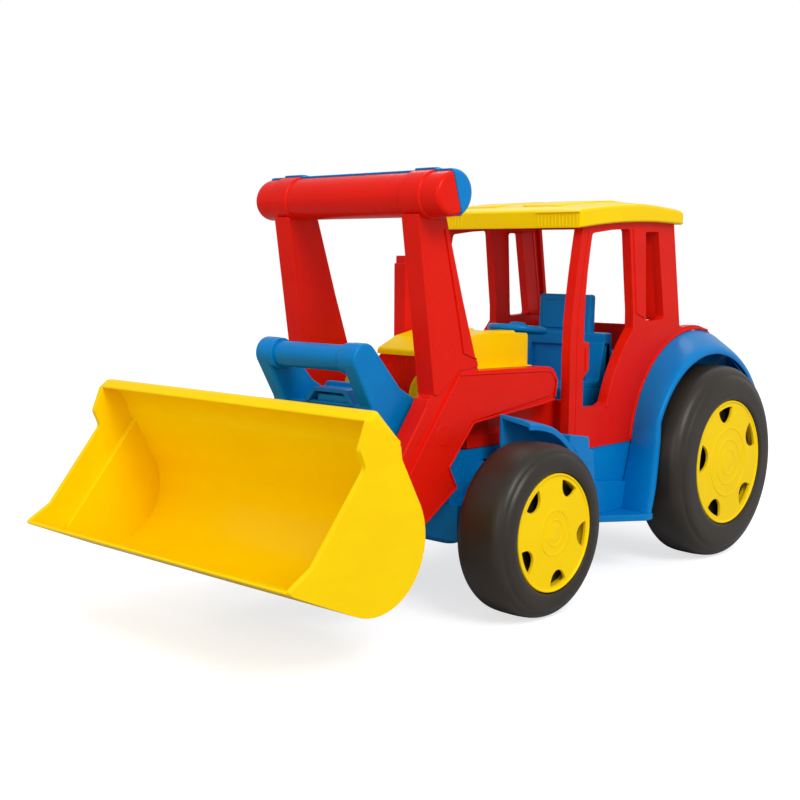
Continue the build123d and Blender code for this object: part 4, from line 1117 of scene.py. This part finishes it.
# ------------------------------------------------------------------ stage
class TRACTOR_OT_stage(bpy.types.Operator):
    """Sets up the floor, soft studio light and camera"""
    bl_idname = "tractor.stage"
    bl_label = "Stage"

    def execute(self, context):
        scene = context.scene
        mesh = bpy.data.meshes.new("studio_floor")
        bm = bmesh.new()
        reach = 6.0
        for x, y in ((-reach, -reach), (reach, -reach), (reach, reach), (-reach, reach)):
            bm.verts.new((x, y, 0.0))
        bm.faces.new(bm.verts[:])
        bm.to_mesh(mesh)
        bm.free()
        floor = bpy.data.objects.new("studio_floor", mesh)
        scene.collection.objects.link(floor)
        r = Recipe("Pale floor")
        paint = r.node("ShaderNodeBsdfDiffuse", None, {"Color": (0.52, 0.52, 0.53)})
        seen = r.node("ShaderNodeLightPath").outputs["Is Camera Ray"]
        lift = r.node("ShaderNodeEmission", None, {"Color": (1.0, 1.0, 1.0)})
        r.feed(lift.inputs["Strength"], r.number(seen) * 0.70)
        both = r.node("ShaderNodeAddShader", None, {0: paint.outputs[0], 1: lift.outputs[0]})
        r.node("ShaderNodeOutputMaterial", None, {"Surface": both.outputs[0]})
        mesh.materials.append(r.material)

        world = bpy.data.worlds.new("Studio air")
        scene.world = world
        world.use_nodes = True
        tree = world.node_tree
        tree.nodes.clear()
        rays = tree.nodes.new("ShaderNodeLightPath")
        seen = tree.nodes.new("ShaderNodeBackground")
        seen.inputs["Color"].default_value = (1, 1, 1, 1)
        seen.inputs["Strength"].default_value = 1.0
        lit = tree.nodes.new("ShaderNodeBackground")
        lit.inputs["Color"].default_value = (0.97, 0.985, 1.0, 1)
        lit.inputs["Strength"].default_value = 0.70
        choose = tree.nodes.new("ShaderNodeMixShader")
        out = tree.nodes.new("ShaderNodeOutputWorld")
        tree.links.new(rays.outputs["Is Camera Ray"], choose.inputs["Fac"])
        tree.links.new(lit.outputs[0], choose.inputs[1])
        tree.links.new(seen.outputs[0], choose.inputs[2])
        tree.links.new(choose.outputs[0], out.inputs["Surface"])

        def softbox(name, place, aim, width, height, power):
            data = bpy.data.lights.new(name, "AREA")
            data.shape = "RECTANGLE"
            data.size = width
            data.size_y = height
            data.energy = power
            lamp = bpy.data.objects.new(name, data)
            lamp.location = place
            lamp.rotation_euler = (Vector(aim) - Vector(place)).to_track_quat("-Z", "Y").to_euler()
            scene.collection.objects.link(lamp)

        middle = (0.0, 0.0, 0.15)
        softbox("key softbox", (0.7, 1.9, 1.9), middle, 1.1, 1.1, 36.0)
        softbox("front softbox", (2.3, 0.5, 1.0), middle, 0.5, 1.5, 8.0)
        softbox("rear softbox", (-1.6, -1.2, 1.8), middle, 1.2, 1.2, 8.0)

        data = bpy.data.cameras.new("studio camera")
        data.sensor_width = 36.0
        data.lens = 56.862
        data.clip_end = 50.0
        camera = bpy.data.objects.new("studio camera", data)
        turn, tilt, roll = (math.radians(a) for a in (133.065, 6.365, 0.419))
        back = Vector((math.sin(turn) * math.cos(tilt), -math.cos(turn) * math.cos(tilt), math.sin(tilt)))
        right = Vector((math.cos(turn), math.sin(turn), 0.0))
        up = back.cross(right)
        across = right * math.cos(roll) + up * math.sin(roll)
        rise = up * math.cos(roll) - right * math.sin(roll)
        place = Matrix((across, rise, back)).transposed().to_4x4()
        place.translation = Vector((0.7565, 0.6484, 0.2532))
        camera.matrix_world = place
        scene.collection.objects.link(camera)
        scene.camera = camera
        scene.view_settings.view_transform = "Standard"
        return {"FINISHED"}


# ------------------------------------------------------------------ panel and run
STEPS = (TRACTOR_OT_chassis, TRACTOR_OT_wheels, TRACTOR_OT_fenders, TRACTOR_OT_cab, TRACTOR_OT_nose,
         TRACTOR_OT_tops, TRACTOR_OT_stack, TRACTOR_OT_seat, TRACTOR_OT_steering, TRACTOR_OT_loader,
         TRACTOR_OT_lever, TRACTOR_OT_bucket, TRACTOR_OT_stage)


class TRACTOR_PT_panel(bpy.types.Panel):
    """Lists the tractor's pieces"""
    bl_idname = "TRACTOR_PT_panel"
    bl_label = "Toy loader tractor"
    bl_space_type = "VIEW_3D"
    bl_region_type = "UI"
    bl_category = "Tractor"

    def draw(self, context):
        for group in (context.scene.tractor_looks, context.scene.tractor_sizes):
            for name in group.__annotations__:
                self.layout.prop(group, name)
        for step in STEPS:
            self.layout.operator(step.bl_idname)


CLASSES = (TractorLooks, TractorSizes) + STEPS + (TRACTOR_PT_panel,)


def register():
    for cls in CLASSES:
        bpy.utils.register_class(cls)
    bpy.types.Scene.tractor_looks = bpy.props.PointerProperty(type=TractorLooks)
    bpy.types.Scene.tractor_sizes = bpy.props.PointerProperty(type=TractorSizes)


def unregister():
    del bpy.types.Scene.tractor_looks
    del bpy.types.Scene.tractor_sizes
    for cls in reversed(CLASSES):
        bpy.utils.unregister_class(cls)


def main():
    register()
    for step in STEPS:
        group, name = step.bl_idname.split(".")
        getattr(getattr(bpy.ops, group), name)()


if __name__ == "__main__":
    main()
